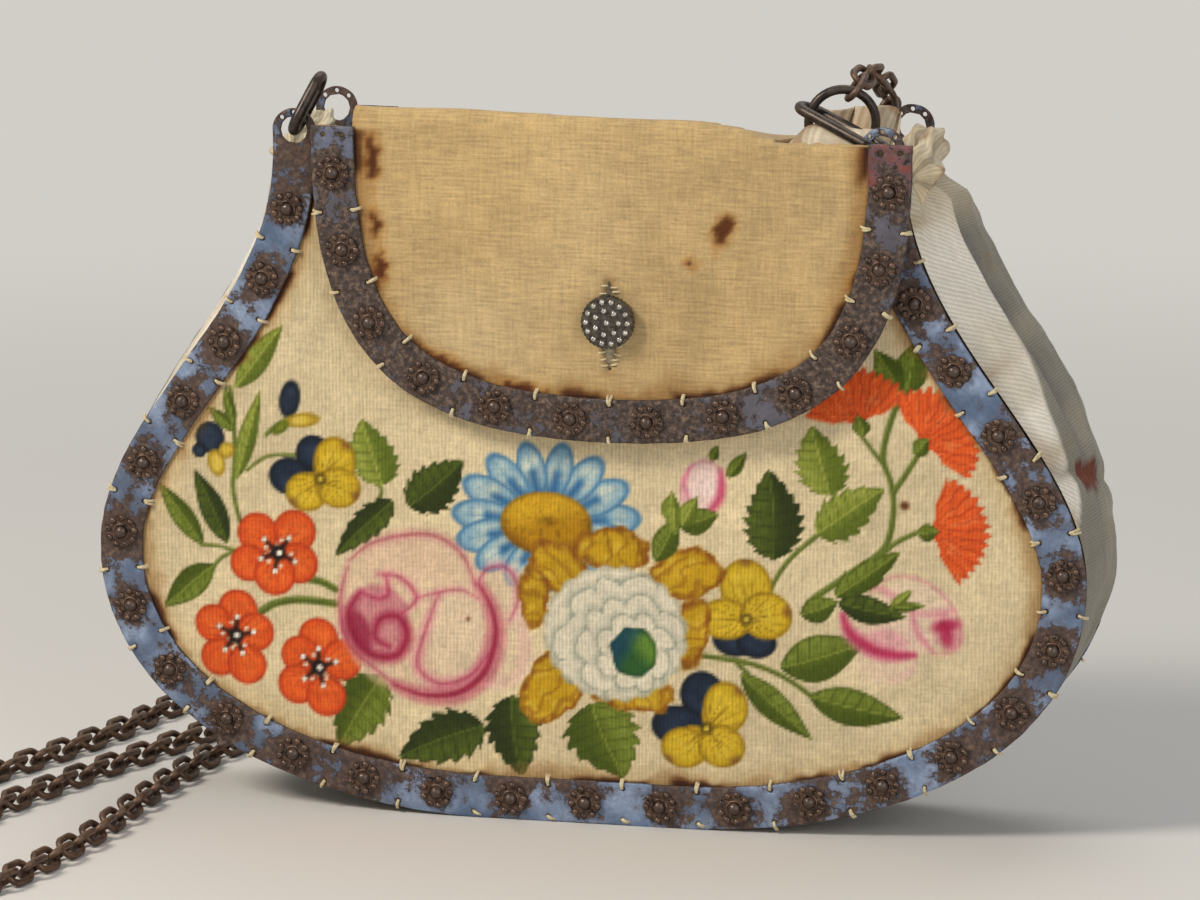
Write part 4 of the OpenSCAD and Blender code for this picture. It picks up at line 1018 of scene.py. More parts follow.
def paintDaisy(canvas, x, z):
    cx, cz, count = -9.5, 72.7, 15
    for k in range(count):
        a = 2 * math.pi * k / count + 0.12
        reach = np.array((22.6 * math.cos(a), (19.4 if math.sin(a) > 0 else 16.0) * math.sin(a)))
        tip, base = np.array((cx, cz)) + reach, np.array((cx, cz)) + 0.36 * reach
        middle, d = (tip + base) / 2, tip - base
        turn = math.degrees(math.atan2(d[1], d[0]))
        paintPetal(canvas, x, z, *middle, np.linalg.norm(d) / 2 + 0.6, 3.3 + 0.7 * abs(math.cos(a)), turn, "#7CA5BA",
                   "#225A88", "#D6D8C0")
        lay(canvas, "#14508A", lineMask(x, z, [tuple(base), tuple(base + 0.42 * d)], 2.2, 1.2) * 0.75)
        lay(canvas, "#2E6FA5", lineMask(x, z, [tuple(base), tuple(base + 0.85 * d)], 0.2, 0.4) * 0.4)
    mask, d = ovalMask(x, z, cx, cz, 11.0, 7.6)
    lay(canvas, "#B4820F", mask)
    lay(canvas, "#D2A526", mask * ease(-2.0, 3.5, z - cz + 0.25 * (cx - x)) * 0.8)
    lay(canvas, "#7A4C08", mask * ease(-3.2, 0.2, d) * 0.8 * ease(4, -5, z - cz))
    lay(canvas, "#6A430A", mask * ease(-1.0, 0.2, d) * 0.6)
    lay(canvas, "#7A5208", ovalMask(x, z, cx + 0.3, cz + 0.6, 2.6, 1.1, 0, 0.9)[0] * 0.5)
    lay(canvas, "#5F4206", mask * ease(0.45, 0.9, mottle(x, z, 0.9, 12)) * 0.45)


def paintWhite(canvas, x, z):
    cx, cz = 7.3, 46.8
    for px, pz, a, b, turn in ochrePetals:
        near = (np.abs(x - px) < 16) & (np.abs(z - pz) < 16)
        part, qx, qz = canvas[near], x[near], z[near]
        d = ovalMask(qx, qz, px, pz, a * 1.16, b * 1.2, -turn)[1]
        d = d + 0.7 * mottle(qx, qz, 2.3, px) + 0.3 * mottle(qx, qz, 0.9, pz)
        mask = ease(0.4, -0.4, d)
        ray = np.cos(np.arctan2(qz - cz, qx - cx) * 34 + 3 * mottle(qx, qz, 3, 6))
        lay(part, "#C0961A", mask)
        lay(part, "#D6B23A", mask * ease(-0.1, 0.8, mottle(qx, qz, 2.6, 9)) * 0.7)
        lay(part, "#8E5A12", mask * ease(0.3, 0.95, ray) * 0.5)
        lay(part, "#7A3F10", mask * ease(-1.8, 0.1, d + 0.6 * mottle(qx, qz, 1.3, 4)) * 0.75)
        canvas[near] = part
    mask, d = ovalMask(x, z, cx, cz, 17.2, 16.1)
    mask = ease(0.5, -0.5, d - 0.9 * np.abs(np.sin(np.arctan2(z - cz, x - cx) * 10)) + 0.4)
    lay(canvas, "#DDD3B8", mask)
    ex, ez = 11.9, 42.5
    rad = np.hypot(x - ex, z - ez) + 0.9 * mottle(x, z, 4.5, 17)
    ang = np.arctan2(z - ez, x - ex) + 0.17 * mottle(x, z, 6, 18)
    for ring, (r, n) in enumerate([(8.6, 8), (13.0, 10), (18.2, 12), (24.0, 14)]):
        lobe = np.abs(np.sin(ang * n / 2 + ring * 1.3))
        edge = r + 2.4 * lobe ** 0.7 - 1.3
        lay(canvas, "#A5A792", mask * ease(2.4, 0.0, rad - edge) * (rad > edge) * 0.5)
        lay(canvas, "#858D78", mask * ease(0.55, 0.1, np.abs(rad - edge)) * 0.5)
        lay(canvas, "#858D78", mask * ease(0.3, 0.0, lobe) * ease(r - 3.2, r, rad) * ease(r + 0.8, r, rad) * 0.55)
    lay(canvas, "#8E8B6C", mask * ease(-1.2, 0.3, d) * 0.45)
    mask, d = ovalMask(x, z, ex, ez, 5.7, 5.9, 0, 0.4)
    mask = ease(0.4, -0.4, d + 0.5 * mottle(x, z, 2, 5))
    lay(canvas, "#2F5A2A", mask)
    lay(canvas, "#6E9030", mask * ease(-2, 4, (x - ex) + (z - ez)) * 0.8)
    lay(canvas, "#173A22", mask * ease(-1.6, 0.2, d) * 0.6)
    lay(canvas, "#123E5A", mask * ease(1, -4, (x - ex) - 0.6 * (z - ez)) * 0.75)


def paintRose(canvas, x, z):
    wob = 0.8 * mottle(x, z, 4, 31)
    for cx, cz, a, b, turn, code, strength in [
            (-42.0, 49.0, 18.5, 20.0, 0, "#E2C2A2", 0.6), (-21.5, 46.5, 7.5, 14.5, -8, "#E2C5A6", 0.5),
            (-51.5, 46.5, 8.5, 9.0, 0, "#C87880", 0.8), (-31.3, 44.5, 8.0, 11.0, 0, "#E0C8A6", 0.8),
            (-44.0, 61.5, 11.5, 5.5, 0, "#DDBB9C", 0.5)]:
        d = ovalMask(x, z, cx, cz, a, b, turn)[1]
        lay(canvas, code, ease(0.8, -0.8, d + wob) * strength)
    soft = [("edge", 2.6, 0.5, "#C77A80"), ("left", 2.6, 0.5, "#C8747E"), ("under", 5.6, 0.65, "#BC5066"),
            ("heart", 3.4, 0.8, "#A83A52"),
            ("inner", 2.0, 0.6, "#D06A84"), ("curl", 2.0, 0.6, "#CC5A78"), ("big", 3.2, 0.5, "#D4708A"),
            ("bigTop", 1.8, 0.5, "#D98092"),
            ("right", 2.4, 0.6, "#DC8A9A"), ("rightLow", 3.4, 0.35, "#E3A5A8")]
    for key, width, strength, code in soft:
        lay(canvas, code, lineMask(x, z, roseLines[key], width, 1.3, 0.5) * strength)
    for key, width in [("heart", 1.1), ("under", 1.5), ("left", 0.8), ("edge", 0.7), ("inner", 0.7), ("curl", 0.8),
                       ("big", 0.8),
                       ("right", 0.7), ("bigTop", 0.5)]:
        lay(canvas, "#98203C", lineMask(x, z, roseLines[key], width, 0.5, 0.7)
            * (0.85 if key in ("heart", "under") else 0.5))
    lay(canvas, "#8E1C38", ovalMask(x, z, -55.5, 44.5, 2.6, 5.2, 20, 0.9)[0] * 0.75)
    lay(canvas, "#5A2A16", ovalMask(x, z, -28.7, 48.6, 0.55, 0.55, 0, 0.4)[0] * 0.8)


def paintCarnation(canvas, x, z, base, middle, reach, spread):
    ax = math.atan2(middle[1] - base[1], middle[0] - base[0])
    rad = np.hypot(x - base[0], z - base[1])
    ang = (np.arctan2(z - base[1], x - base[0]) - ax + math.pi) % (2 * math.pi) - math.pi
    near = rad < reach * 1.7
    part, r, a = canvas[near], rad[near], ang[near]
    limit = math.radians(spread)
    teeth = np.abs((a * 6.5 + 0.3) % 1 - 0.5)
    edge = reach * 1.28 * (0.86 + 0.14 * np.cos(a)) * (1 - 0.2 * teeth) + 0.5 * mottle(x[near], z[near], 1.5, 9)
    fan = limit * (0.35 + 0.65 * np.clip(r / (0.55 * reach), 0, 1))
    mask = ease(0.4, -0.4, r - edge) * ease(0.05, -0.05, np.abs(a) - fan) * (r > 0.6)
    lay(part, "#DE5A22", mask)
    lay(part, "#F0854A", mask * ease(0.2, 0.9, mottle(a * 14, r * 0.4, 1, 4)) * 0.6)
    lay(part, "#A8331A", mask * ease(0.45, 0.95, np.cos(a * 30 + 2 * mottle(r, a, 2, 3))) * 0.5)
    lay(part, "#B93C18", mask * ease(1.0, 0.0, edge - r) * 0.45)
    lay(part, "#9E2E14", mask * ease(0.5 * reach, 0, r) * 0.5)
    canvas[near] = part
    tip = (base[0] + 3.6 * math.cos(ax), base[1] + 3.6 * math.sin(ax))
    back = (base[0] - 1.6 * math.cos(ax), base[1] - 1.6 * math.sin(ax))
    paintLeaf(canvas, x, z, *back, *tip, 4.2, 0, 1)


def paintFlowers(canvas, x, z):
    for points, width in stems:
        lay(canvas, "#66742A", lineMask(x, z, points, width, 0.4) * 0.95)
        lay(canvas, "#3F4C14", lineMask(x, z, [(px + 0.25, pz - 0.3) for px, pz in points], width * 0.4, 0.3) * 0.6)
    for spec in leaves:
        paintLeaf(canvas, x, z, *spec)
    for (cx, cz), petals in orangeFlowers:
        for px, pz, r in petals:
            paintPetal(canvas, x, z, px, pz, r, r, 0, "#D9501C", "#9A2C12", "#EA6E2C", (cx, cz))
        for px, pz, r in petals:
            d = np.array((px - cx, pz - cz)) / np.hypot(px - cx, pz - cz)
            end = (cx + 4.6 * d[0], cz + 4.6 * d[1])
            lay(canvas, "#2A140E", lineMask(x, z, [(cx, cz), end], 1.1, 0.5) * 0.9)
            lay(canvas, "#F2ECD8", ovalMask(x, z, end[0], end[1], 0.62, 0.62, 0, 0.3)[0])
            side = (cx + 3.0 * d[0] - 1.2 * d[1], cz + 3.0 * d[1] + 1.2 * d[0])
            lay(canvas, "#EFE7D2", ovalMask(x, z, side[0], side[1], 0.5, 0.5, 0, 0.3)[0] * 0.9)
        lay(canvas, "#1E1210", ovalMask(x, z, cx, cz, 1.9, 1.9, 0, 0.6)[0])
        lay(canvas, "#F2ECD8", ovalMask(x, z, cx + 0.3, cz, 0.7, 0.7, 0, 0.3)[0])
    for centre, navy, gold in pansies:
        for kind, petals in (("navy", navy), ("gold", gold)):
            navy, gold = ("#18212F", "#0C1119", "#2C3A50"), ("#C6A21C", "#7A5A12", "#DDBD3A")
            fill, edge, pale = navy if kind == "navy" else gold
            for px, pz, a, b in petals:
                qx, qz = 0.86 * px + 0.14 * centre[0], 0.86 * pz + 0.14 * centre[1]
                paintPetal(canvas, x, z, 0.5 * (px + centre[0]), 0.5 * (pz + centre[1]), 0.78 * a, 0.78 * b, 0, fill,
                           edge, pale)
                paintPetal(canvas, x, z, qx, qz, 1.1 * a, 1.1 * b, 0, fill, edge, pale,
                           centre if kind == "gold" else None)
                if kind == "gold":
                    far = np.array((px - centre[0], pz - centre[1]))
                    far = far / np.linalg.norm(far)
                    blush = ovalMask(x, z, px + far[0] * a * 0.85, pz + far[1] * b * 0.85, 1.4, 1.4, 0, 1.0)[0]
                    lay(canvas, "#6A3A2A", blush * ovalMask(x, z, qx, qz, 1.1 * a, 1.1 * b)[0] * 0.6)
                    lay(canvas, "#7A5A12", lineMask(x, z, [centre, (qx, qz)], 0.5, 0.4, 0.6) * 0.6)
        lay(canvas, "#4A3A0C", ovalMask(x, z, *centre, 1.5, 1.5, 0, 0.8)[0] * 0.8)
        lay(canvas, "#E2C846", ovalMask(x, z, *centre, 0.6, 0.6, 0, 0.4)[0] * 0.9)
    for px, pz, a, b, turn in [(-92.4, 89.9, 3.6, 3.8, 0), (-95.1, 86.6, 1.7, 1.7, 0), (-72.4, 100.1, 2.5, 4.5, -10)]:
        paintPetal(canvas, x, z, px, pz, a, b, turn, "#1A2330", "#0C1119", "#2E3B4E")
    for px, pz, a, b, turn in [(-88.2, 87.0, 1.9, 1.9, 0), (-90.8, 83.8, 2.1, 3.2, 15), (-69.4, 95.1, 4.3, 1.7, 8)]:
        paintPetal(canvas, x, z, px, pz, a, b, turn, "#C9A830", "#7F6416", "#DFC55A")
    paintPetal(canvas, x, z, -74.8, 93.1, 2.4, 1.3, 35, "#7A8226", "#46520F")
    paintDaisy(canvas, x, z)
    paintRose(canvas, x, z)
    paintWhite(canvas, x, z)
    paintPetal(canvas, x, z, 28.2, 83.3, 5.2, 6.7, -18, "#EDC9BC", "#D98A92", "#F3DDD0")
    lay(canvas, "#C04466", lineMask(x, z, [(32.8, 87.5), (32.6, 81.0), (29.0, 76.0)], 2.2, 1.0, 0.6) * 0.85)
    lay(canvas, "#CF6880", lineMask(x, z, [(26.0, 88.5), (24.0, 84.0), (25.5, 79.0)], 1.2, 0.8, 0.6) * 0.7)
    for spec in [(16.6, 65.0, 22.6, 75.6, 6.2, 0, 1), (21.6, 71.5, 21.2, 82.0, 4.2, 0, 2),
                 (22.4, 74.0, 32.4, 76.8, 6.4, 0, 1),
                 (23.0, 73.6, 27.4, 80.6, 4.6, 0, 2)]:
        paintLeaf(canvas, x, z, *spec)
    for base, middle, reach, spread in carnations:
        paintCarnation(canvas, x, z, base, middle, reach, spread)
    for px, pz, a, b, turn, code in [(79.0, 54.5, 10.5, 8.6, 0, "#EACDB4"), (72.0, 48.5, 8.5, 4.5, -8, "#E8BFB0"),
                                     (72.5, 41.5, 7.0, 3.6, 0, "#E9C8B0")]:
        lay(canvas, code, ovalMask(x, z, px, pz, a, b, turn, 1.8)[0] * 0.55)
    for key, width, strength, code in [("rim", 0.8, 0.6, "#CC7684"), ("rimLeft", 1.9, 0.6, "#D5808E"),
                                       ("shade", 4.2, 0.5, "#D98896"),
                                       ("fold", 4.6, 0.6, "#CF6480"), ("fold", 2.2, 0.85, "#B22A50"),
                                       ("inner", 2.2, 0.5, "#D88292"),
                                       ("side", 2.4, 0.5, "#D98A98"), ("side", 0.8, 0.4, "#C45672"),
                                       ("low", 1.4, 0.3, "#D9949A")]:
        lay(canvas, code, lineMask(x, z, rosebudLines[key], width, 0.75, 0.6) * strength)
    lay(canvas, "#CF6480", ovalMask(x, z, 87.2, 51.0, 3.2, 4.4, 20, 1.4)[0] * 0.6)
    lay(canvas, "#A81F45", ovalMask(x, z, 86.9, 52.6, 3.2, 1.3, 12, 0.9)[0] * 0.85)
    lay(canvas, "#A81F45", ovalMask(x, z, 87.0, 50.4, 1.4, 2.7, 10, 0.9)[0] * 0.8)
    for spec in leaves[22:25]:
        paintLeaf(canvas, x, z, *spec)
    for spec in [(73.2, 55.6, 78.9, 60.8, 2.6, 0, 2), (73.6, 56.4, 82.0, 57.2, 2.2, 0, 1)]:
        paintLeaf(canvas, x, z, *spec)
    lay(canvas, "#5A2E10", ovalMask(x, z, 76.8, 80.9, 1.1, 1.0, 0, 0.6)[0] * 0.9)


def velvetGround(x, z, base, seed):
    tone = 0.05 * mottle(x, z, 38, seed) + 0.035 * mottle(x, z, 13, seed + 1) + 0.02 * mottle(x, z, 3.5, seed + 2)
    return srgb(base) * (1 + tone)[:, None]


def edgeStain(canvas, gap, x, z, seed, reach):
    # rust washed out of the steel into the cloth along its edge
    wide = reach * (0.35 + 0.9 * np.clip(mottle(x, z, 11, seed) + 0.35, 0, 1.3)) + 0.9 * mottle(x, z, 2.6, seed + 3)
    lay(canvas, "#8A6030", ease(2.4 * np.maximum(wide, 0.3), 0, gap) * ease(-3.2, -0.8, gap) * 0.5)
    burnt = ease(0.15, 0.6, mottle(x, z, 9, seed + 5) + 0.3) * ease(-2.2, -0.8, gap)  # clean under the steel
    lay(canvas, "#5E3614", ease(0.8, -0.3, gap - 0.6 * wide) * 0.75 * burnt)
    lay(canvas, "#33180A", ease(0.5, -0.3, gap - 0.35 * wide) * 0.8 * burnt)


def makeFrontVelvet():
    line = closedLine(bagHalf - cloth["cutIn"] * outward(bagHalf))
    xs = np.linspace(-119.5, 119.5, 430)
    zs = np.concatenate([np.arange(0.6, 124, 0.56), np.arange(124, 159.4, 1.6), [160]])
    co, quads, rim = clothGrid(xs, zs, lambda p: insideLoop(p, line[:-1]), line)
    gap = nearest(co, wholeRun(bagHalf)[::3])[1] - strip["width"]
    x, z = co[:, 0], co[:, 1]
    crown = 0.75 * (1 - np.exp(-np.maximum(gap, 0) / 9)) + 0.12 * mottle(x, z, 17, 2) * ease(1, 6, gap)
    face = np.stack([x, -cloth["panelFace"] - np.maximum(crown, 0), z], -1)
    back = np.stack([x, np.full(len(x), -cloth["panelBack"]), z], -1)
    verts, faces, border = withWalls(face, quads, rim, back)
    obj = makePiece("frontVelvet", verts, faces, velvet, "bag", ["front_panel"])
    canvas = velvetGround(x, z, "#D8C59C", 20)
    lay(canvas, "#B89A66", ease(8, 0, gap) * 0.35)
    low = (z < 127)
    part, px, pz = canvas[low], x[low], z[low]
    paintFlowers(part, px, pz)
    canvas[low] = part
    edgeStain(canvas, gap, x, z, 41, 2.0)
    canvas *= (1 + 0.05 * mottle(x, z, 0.8, 77))[:, None]
    tint(obj, "paint", np.vstack([canvas, canvas[border]]))
    weave(obj, np.append(x, x[border]), np.append(z, z[border]))
    area = flatArea(line)
    return area


def makeBackVelvet():
    line = closedLine(bagHalf - cloth["cutIn"] * outward(bagHalf))
    co, quads, rim = clothGrid(np.linspace(-119.5, 119.5, 130), np.linspace(0.6, 160, 90),
                               lambda p: insideLoop(p, line[:-1]), line)
    gap = nearest(co, wholeRun(bagHalf)[::4])[1] - strip["width"]
    x, z = co[:, 0], co[:, 1]
    crown = np.maximum(0.7 * (1 - np.exp(-np.maximum(gap, 0) / 9)) + 0.12 * mottle(x, z, 19, 6) * ease(1, 6, gap), 0)
    face = np.stack([x, cloth["panelFace"] + crown, z], -1)
    back = np.stack([x, np.full(len(x), cloth["panelBack"]), z], -1)
    verts, faces, border = withWalls(face, quads, rim, back)
    obj = makePiece("backVelvet", verts, [f[::-1] for f in faces], velvet, "bag", ["back_panel"])
    canvas = velvetGround(x, z, "#CDB98F", 50)
    lay(canvas, "#B89A66", ease(9, 0, gap) * 0.4)
    edgeStain(canvas, gap, x, z, 63, 1.8)
    tint(obj, "paint", np.vstack([canvas, canvas[border]]))
    weave(obj, np.append(x, x[border]), np.append(z, z[border]))


panelArea = makeFrontVelvet()
makeBackVelvet()
print("velvet panels made")


# flap: one cloth down the front, over a soft fold and back to its hinge line
slit = {"x": 7, "low": 110.9, "high": 132.5, "half": 1.7}
spotStains = [(34.0, 144.8, 2.0, 3.4, -25), (26.6, 137.1, 0.9, 0.9, 0), (-50.2, 159.2, 1.6, 4.6, 0),
              (-49.6, 144.7, 1.4, 2.6, 10),
              (-48.2, 133.8, 1.5, 3.2, 0), (-33.1, 111.1, 4.6, 1.8, -28), (-13.7, 105.8, 5.2, 1.4, -8),
              (66.3, 131.9, 1.6, 4.4, 0)]


def foldTop(x):  # the fold droops to the right and rolls softly
    fall = flap["top"] + 0.5 - 0.5 * ease(-20, 20, x) - 2.3 * ease(20, 50, x) - 1.5 * ease(37, 46, x)
    return fall + 0.35 * mottle(x, x * 0, 15, 3)


def overFold(x, v, vEnd):
    # v is the height on the front, and above the notch it runs on over the fold to the hinge line
    r, cy = flap["foldR"], flap["outerY"] + flap["foldR"]
    cz = foldTop(x) - r
    dy, dz = flap["hingeY"] - cy, flap["hingeZ"] - cz
    far = np.hypot(dy, dz)
    turn = math.pi / 2 + np.arcsin(r / far) - np.arctan2(dz, dy)
    run = np.sqrt(far ** 2 - r ** 2)
    whole = cz + r * turn + run
    s = np.where(v <= flap["notch"], v, flap["notch"] + (v - flap["notch"])
                 * (whole - flap["notch"]) / (vEnd - flap["notch"]))
    a = np.clip((s - cz) / r, 0, turn)
    t = np.clip((s - cz - r * turn) / run, 0, 1)
    y0, z0 = cy - r * np.cos(a), np.where(s < cz, s, cz + r * np.sin(a))
    return y0 + (flap["hingeY"] - y0) * t, z0 + (flap["hingeZ"] - z0) * t, s - cz


def applied(obj):
    graph = bpy.context.evaluated_depsgraph_get()
    made = bpy.data.meshes.new_from_object(obj.evaluated_get(graph), preserve_all_data_layers=True, depsgraph=graph)
    obj.modifiers.clear()
    obj.data = made
    return obj


def thicken(obj, thick):
    layer = obj.modifiers.new("thick", "SOLIDIFY")
    layer.thickness = thick * mm
    layer.offset = -1
    bpy.context.view_layer.update()
    return applied(obj)


def makeFlap():
    step = (flap["foldRight"] - flap["foldLeft"]) / 112
    vEnd = flap["notch"] + step * 58
    xs = flap["foldLeft"] + step * np.arange(-12, 150)
    vs = flap["notch"] + step * np.arange(-82, 59)
    cut = frontFlap - cloth["cutIn"] * outward(frontFlap)
    run = wholeRun(cut) + (flap["x"], 0)
    loop = np.vstack([run, [(flap["foldRight"], flap["notch"]), (flap["foldRight"], vEnd), (flap["foldLeft"], vEnd),
                            (flap["foldLeft"], flap["notch"])]])

    def kept(p):
        hole = (np.abs(p[:, 0] - slit["x"]) < 1.2) & (p[:, 1] > slit["low"]) & (p[:, 1] < slit["high"])
        return insideLoop(p, loop) & ~hole
    co, quads, rim = clothGrid(xs, vs, kept, None)
    border = np.unique(rim)
    atSlit = border[(np.abs(co[border, 0] - slit["x"]) < 3) & (co[border, 1] > 108) & (co[border, 1] < 135)]
    outer = np.setdiff1d(border, atSlit)
    co[outer] = nearest(co[outer], np.vstack([loop, loop[:1]]))[0]
    h = np.linspace(slit["low"], slit["high"], 40)
    bulge = slit["half"] * np.sin(math.pi * (h - h[0]) / (h[-1] - h[0])) ** 0.6
    lens = np.vstack([np.stack([slit["x"] - bulge, h], -1), np.stack([slit["x"] + bulge, h], -1)[::-1]])
    co[atSlit] = nearest(co[atSlit], lens)[0]
    x, v = co[:, 0], co[:, 1]
    y, z, past = overFold(x, v, vEnd)
    gap = nearest(co, wholeRun(frontFlap)[::3] + (flap["x"], 0))[1] - strip["width"]
    loose = ease(0, 9, gap)
    y = y + loose * np.where(past < 4, 0.42 * (0.5 + 0.5 * mottle(x, z, 19, 4)) + 0.1 * mottle(x, z, 6, 9), 0)
    z = z + np.where(past > 6, loose * (0.5 * mottle(x, y, 14, 6) - 0.3), 0)
    edgeTop = (v > flap["notch"] - 0.1) & ((x > flap["foldRight"] + 0.4) | (x < flap["foldLeft"] - 0.4))
    z = z + np.where(edgeTop, 0.35 * mottle(x, x * 0, 1.7, 5), 0)
    verts = np.stack([x, y, z], -1)
    obj = makePiece("flapVelvet", verts, quads.tolist(), flapVelvet, None, ["flap"])
    canvas = velvetGround(x, v, "#C4A774", 80)
    lay(canvas, "#D6BE90", ease(-0.2, 0.9, mottle(x, v, 30, 12)) * 0.5)
    lay(canvas, "#A98450", ease(6, 0, gap) * 0.35)
    lay(canvas, "#B08E5C", ease(3, 8, past) * 0.25)
    edgeStain(canvas, np.where(v < flap["notch"], gap, 50), x, v, 90, 2.6)
    for sx, sz, a, b, turn in spotStains:
        d = ovalMask(x, v, sx, sz, a, b, turn)[1] + 0.8 * mottle(x, v, 1.6, sx)
        lay(canvas, "#A06A2C", ease(1.9, -0.4, d) * 0.6)
        lay(canvas, "#4F260E", ease(0.35, -0.6, d) * 0.9)
    seam = np.minimum(np.abs(x - slit["x"]), 9)
    lay(canvas, "#8A6A40", ease(2.6, 1.2, seam) * ease(slit["low"] - 2, slit["low"], v)
        * ease(slit["high"] + 2, slit["high"], v) * 0.45)
    tint(obj, "paint", canvas)
    weave(obj, v, x)
    thicken(obj, 1.0)
    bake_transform(obj)
    # thread worked round the buttonhole
    points, turns = [], []
    for side in (-1, 1):
        for t in np.linspace(0.06, 0.94, 13):
            hz = slit["low"] + t * (slit["high"] - slit["low"])
            hx = slit["half"] * math.sin(math.pi * t) ** 0.6
            points.append((slit["x"] + side * (hx - 0.2), -24.75, hz + rng.uniform(-0.3, 0.3)))
            turns.append(turnTo((side, 0, rng.uniform(-0.3, 0.3)), (0, -1, 0)))
    growPiece("buttonholeThread", stitch, points, turns, {**stitchSizes, "Reach": 1.7, "Thread": 0.26, "Bow": 0.32,
                                                          "Fall": 0.35},
              thread, "flap")


makeFlap()


def silkSheet(name, half, inset, top, shiftX, y, side, step, body, node, colour, seed):
    cut = half - inset * outward(half)
    cut = np.vstack([cut[cut[:, 1] < top - 0.3], [(cut[cut[:, 1] < top - 0.3][-1][0], top)]])
    loop = wholeRun(cut) + (shiftX, 0)
    line = np.vstack([loop, loop[:1]])
    lo, hi = loop.min(0), loop.max(0)
    xs = np.linspace(lo[0], hi[0], int((hi[0] - lo[0]) / step) + 1)
    zs = np.linspace(lo[1], hi[1], int((hi[1] - lo[1]) / step) + 1)
    co, quads, _ = clothGrid(xs, zs, lambda p: insideLoop(p, loop), line)
    x, z = co[:, 0], co[:, 1]
    dy = 0.16 * mottle(x, z, 14, seed) + 0.08 * mottle(x, z * 0.3, 5, seed + 1)
    verts = np.stack([x, y + dy, z], -1)
    faces = quads.tolist() if side < 0 else quads[:, ::-1].tolist()
    obj = makePiece(name, verts, faces, silk, body, [node])
    canvas = velvetGround(x, z, colour, seed)
    lay(canvas, "#9A8560", ease(0.35, 0.9, mottle(x, z, 12, seed + 4)) * 0.3)
    tint(obj, "paint", canvas)
    weave(obj, z, x)
    thicken(obj, 0.3)


silkSheet("frontLining", bagHalf, 4, 160, 0, -cloth["lining"], 1, 2.6, "bag", "front_lining", "#C9BFA8", 101)
silkSheet("backLining", bagHalf, 4, 160, 0, cloth["lining"], -1, 2.6, "bag", "back_lining", "#C9BFA8", 111)
silkSheet("flapLining", frontFlap, 11.2, 152, flap["x"], -cloth["flapLining"], 1, 2.0, "flap", "flap_lining",
          "#C4B898", 121)


def makeBackCloth():
    cut = backFlap - cloth["cutIn"] * outward(backFlap)
    cut = np.vstack([cut[cut[:, 1] < flap["hingeZ"] - 0.5], [(cut[-1][0], flap["hingeZ"])]])
    loop = wholeRun(cut)
    line = np.vstack([loop, loop[:1]])
    co, quads, _ = clothGrid(np.linspace(-66.2, 66.2, 110), np.linspace(94.8, flap["hingeZ"], 62),
                             lambda p: insideLoop(p, loop), line)
    x, z = co[:, 0], co[:, 1]
    gap = nearest(co, wholeRun(backFlap)[::4])[1] - strip["width"]
    roll = 0.9 * ease(flap["hingeZ"] - 2.5, flap["hingeZ"], z)
    verts = np.stack([x, cloth["backCloth"] - roll - ease(0, 8, gap) * 0.3 * (0.5 + 0.5 * mottle(x, z, 17, 8)), z], -1)
    obj = makePiece("backCloth", verts, quads[:, ::-1].tolist(), flapVelvet, "bag", ["flap_back"])
    canvas = velvetGround(x, z, "#C3A673", 140)
    lay(canvas, "#A98450", ease(6, 0, gap) * 0.35)
    edgeStain(canvas, gap, x, z, 150, 1.7)
    tint(obj, "paint", canvas)
    weave(obj, z, x)
    thicken(obj, 0.9)


makeBackCloth()
print("flap and linings made")

# silk gusset: a bright ribbed welt beside the front edging, grey silk puffed out behind it; the welt's cream is partly
# a painted highlight and the grey partly painted shade
gusset = {"halfDepth": 15.95, "top": 157.6, "fold": 4.0, "gap": 0.3, "weltEnd": -0.36, "puffRight": 9.5,
          "puffLeft": 3.4}


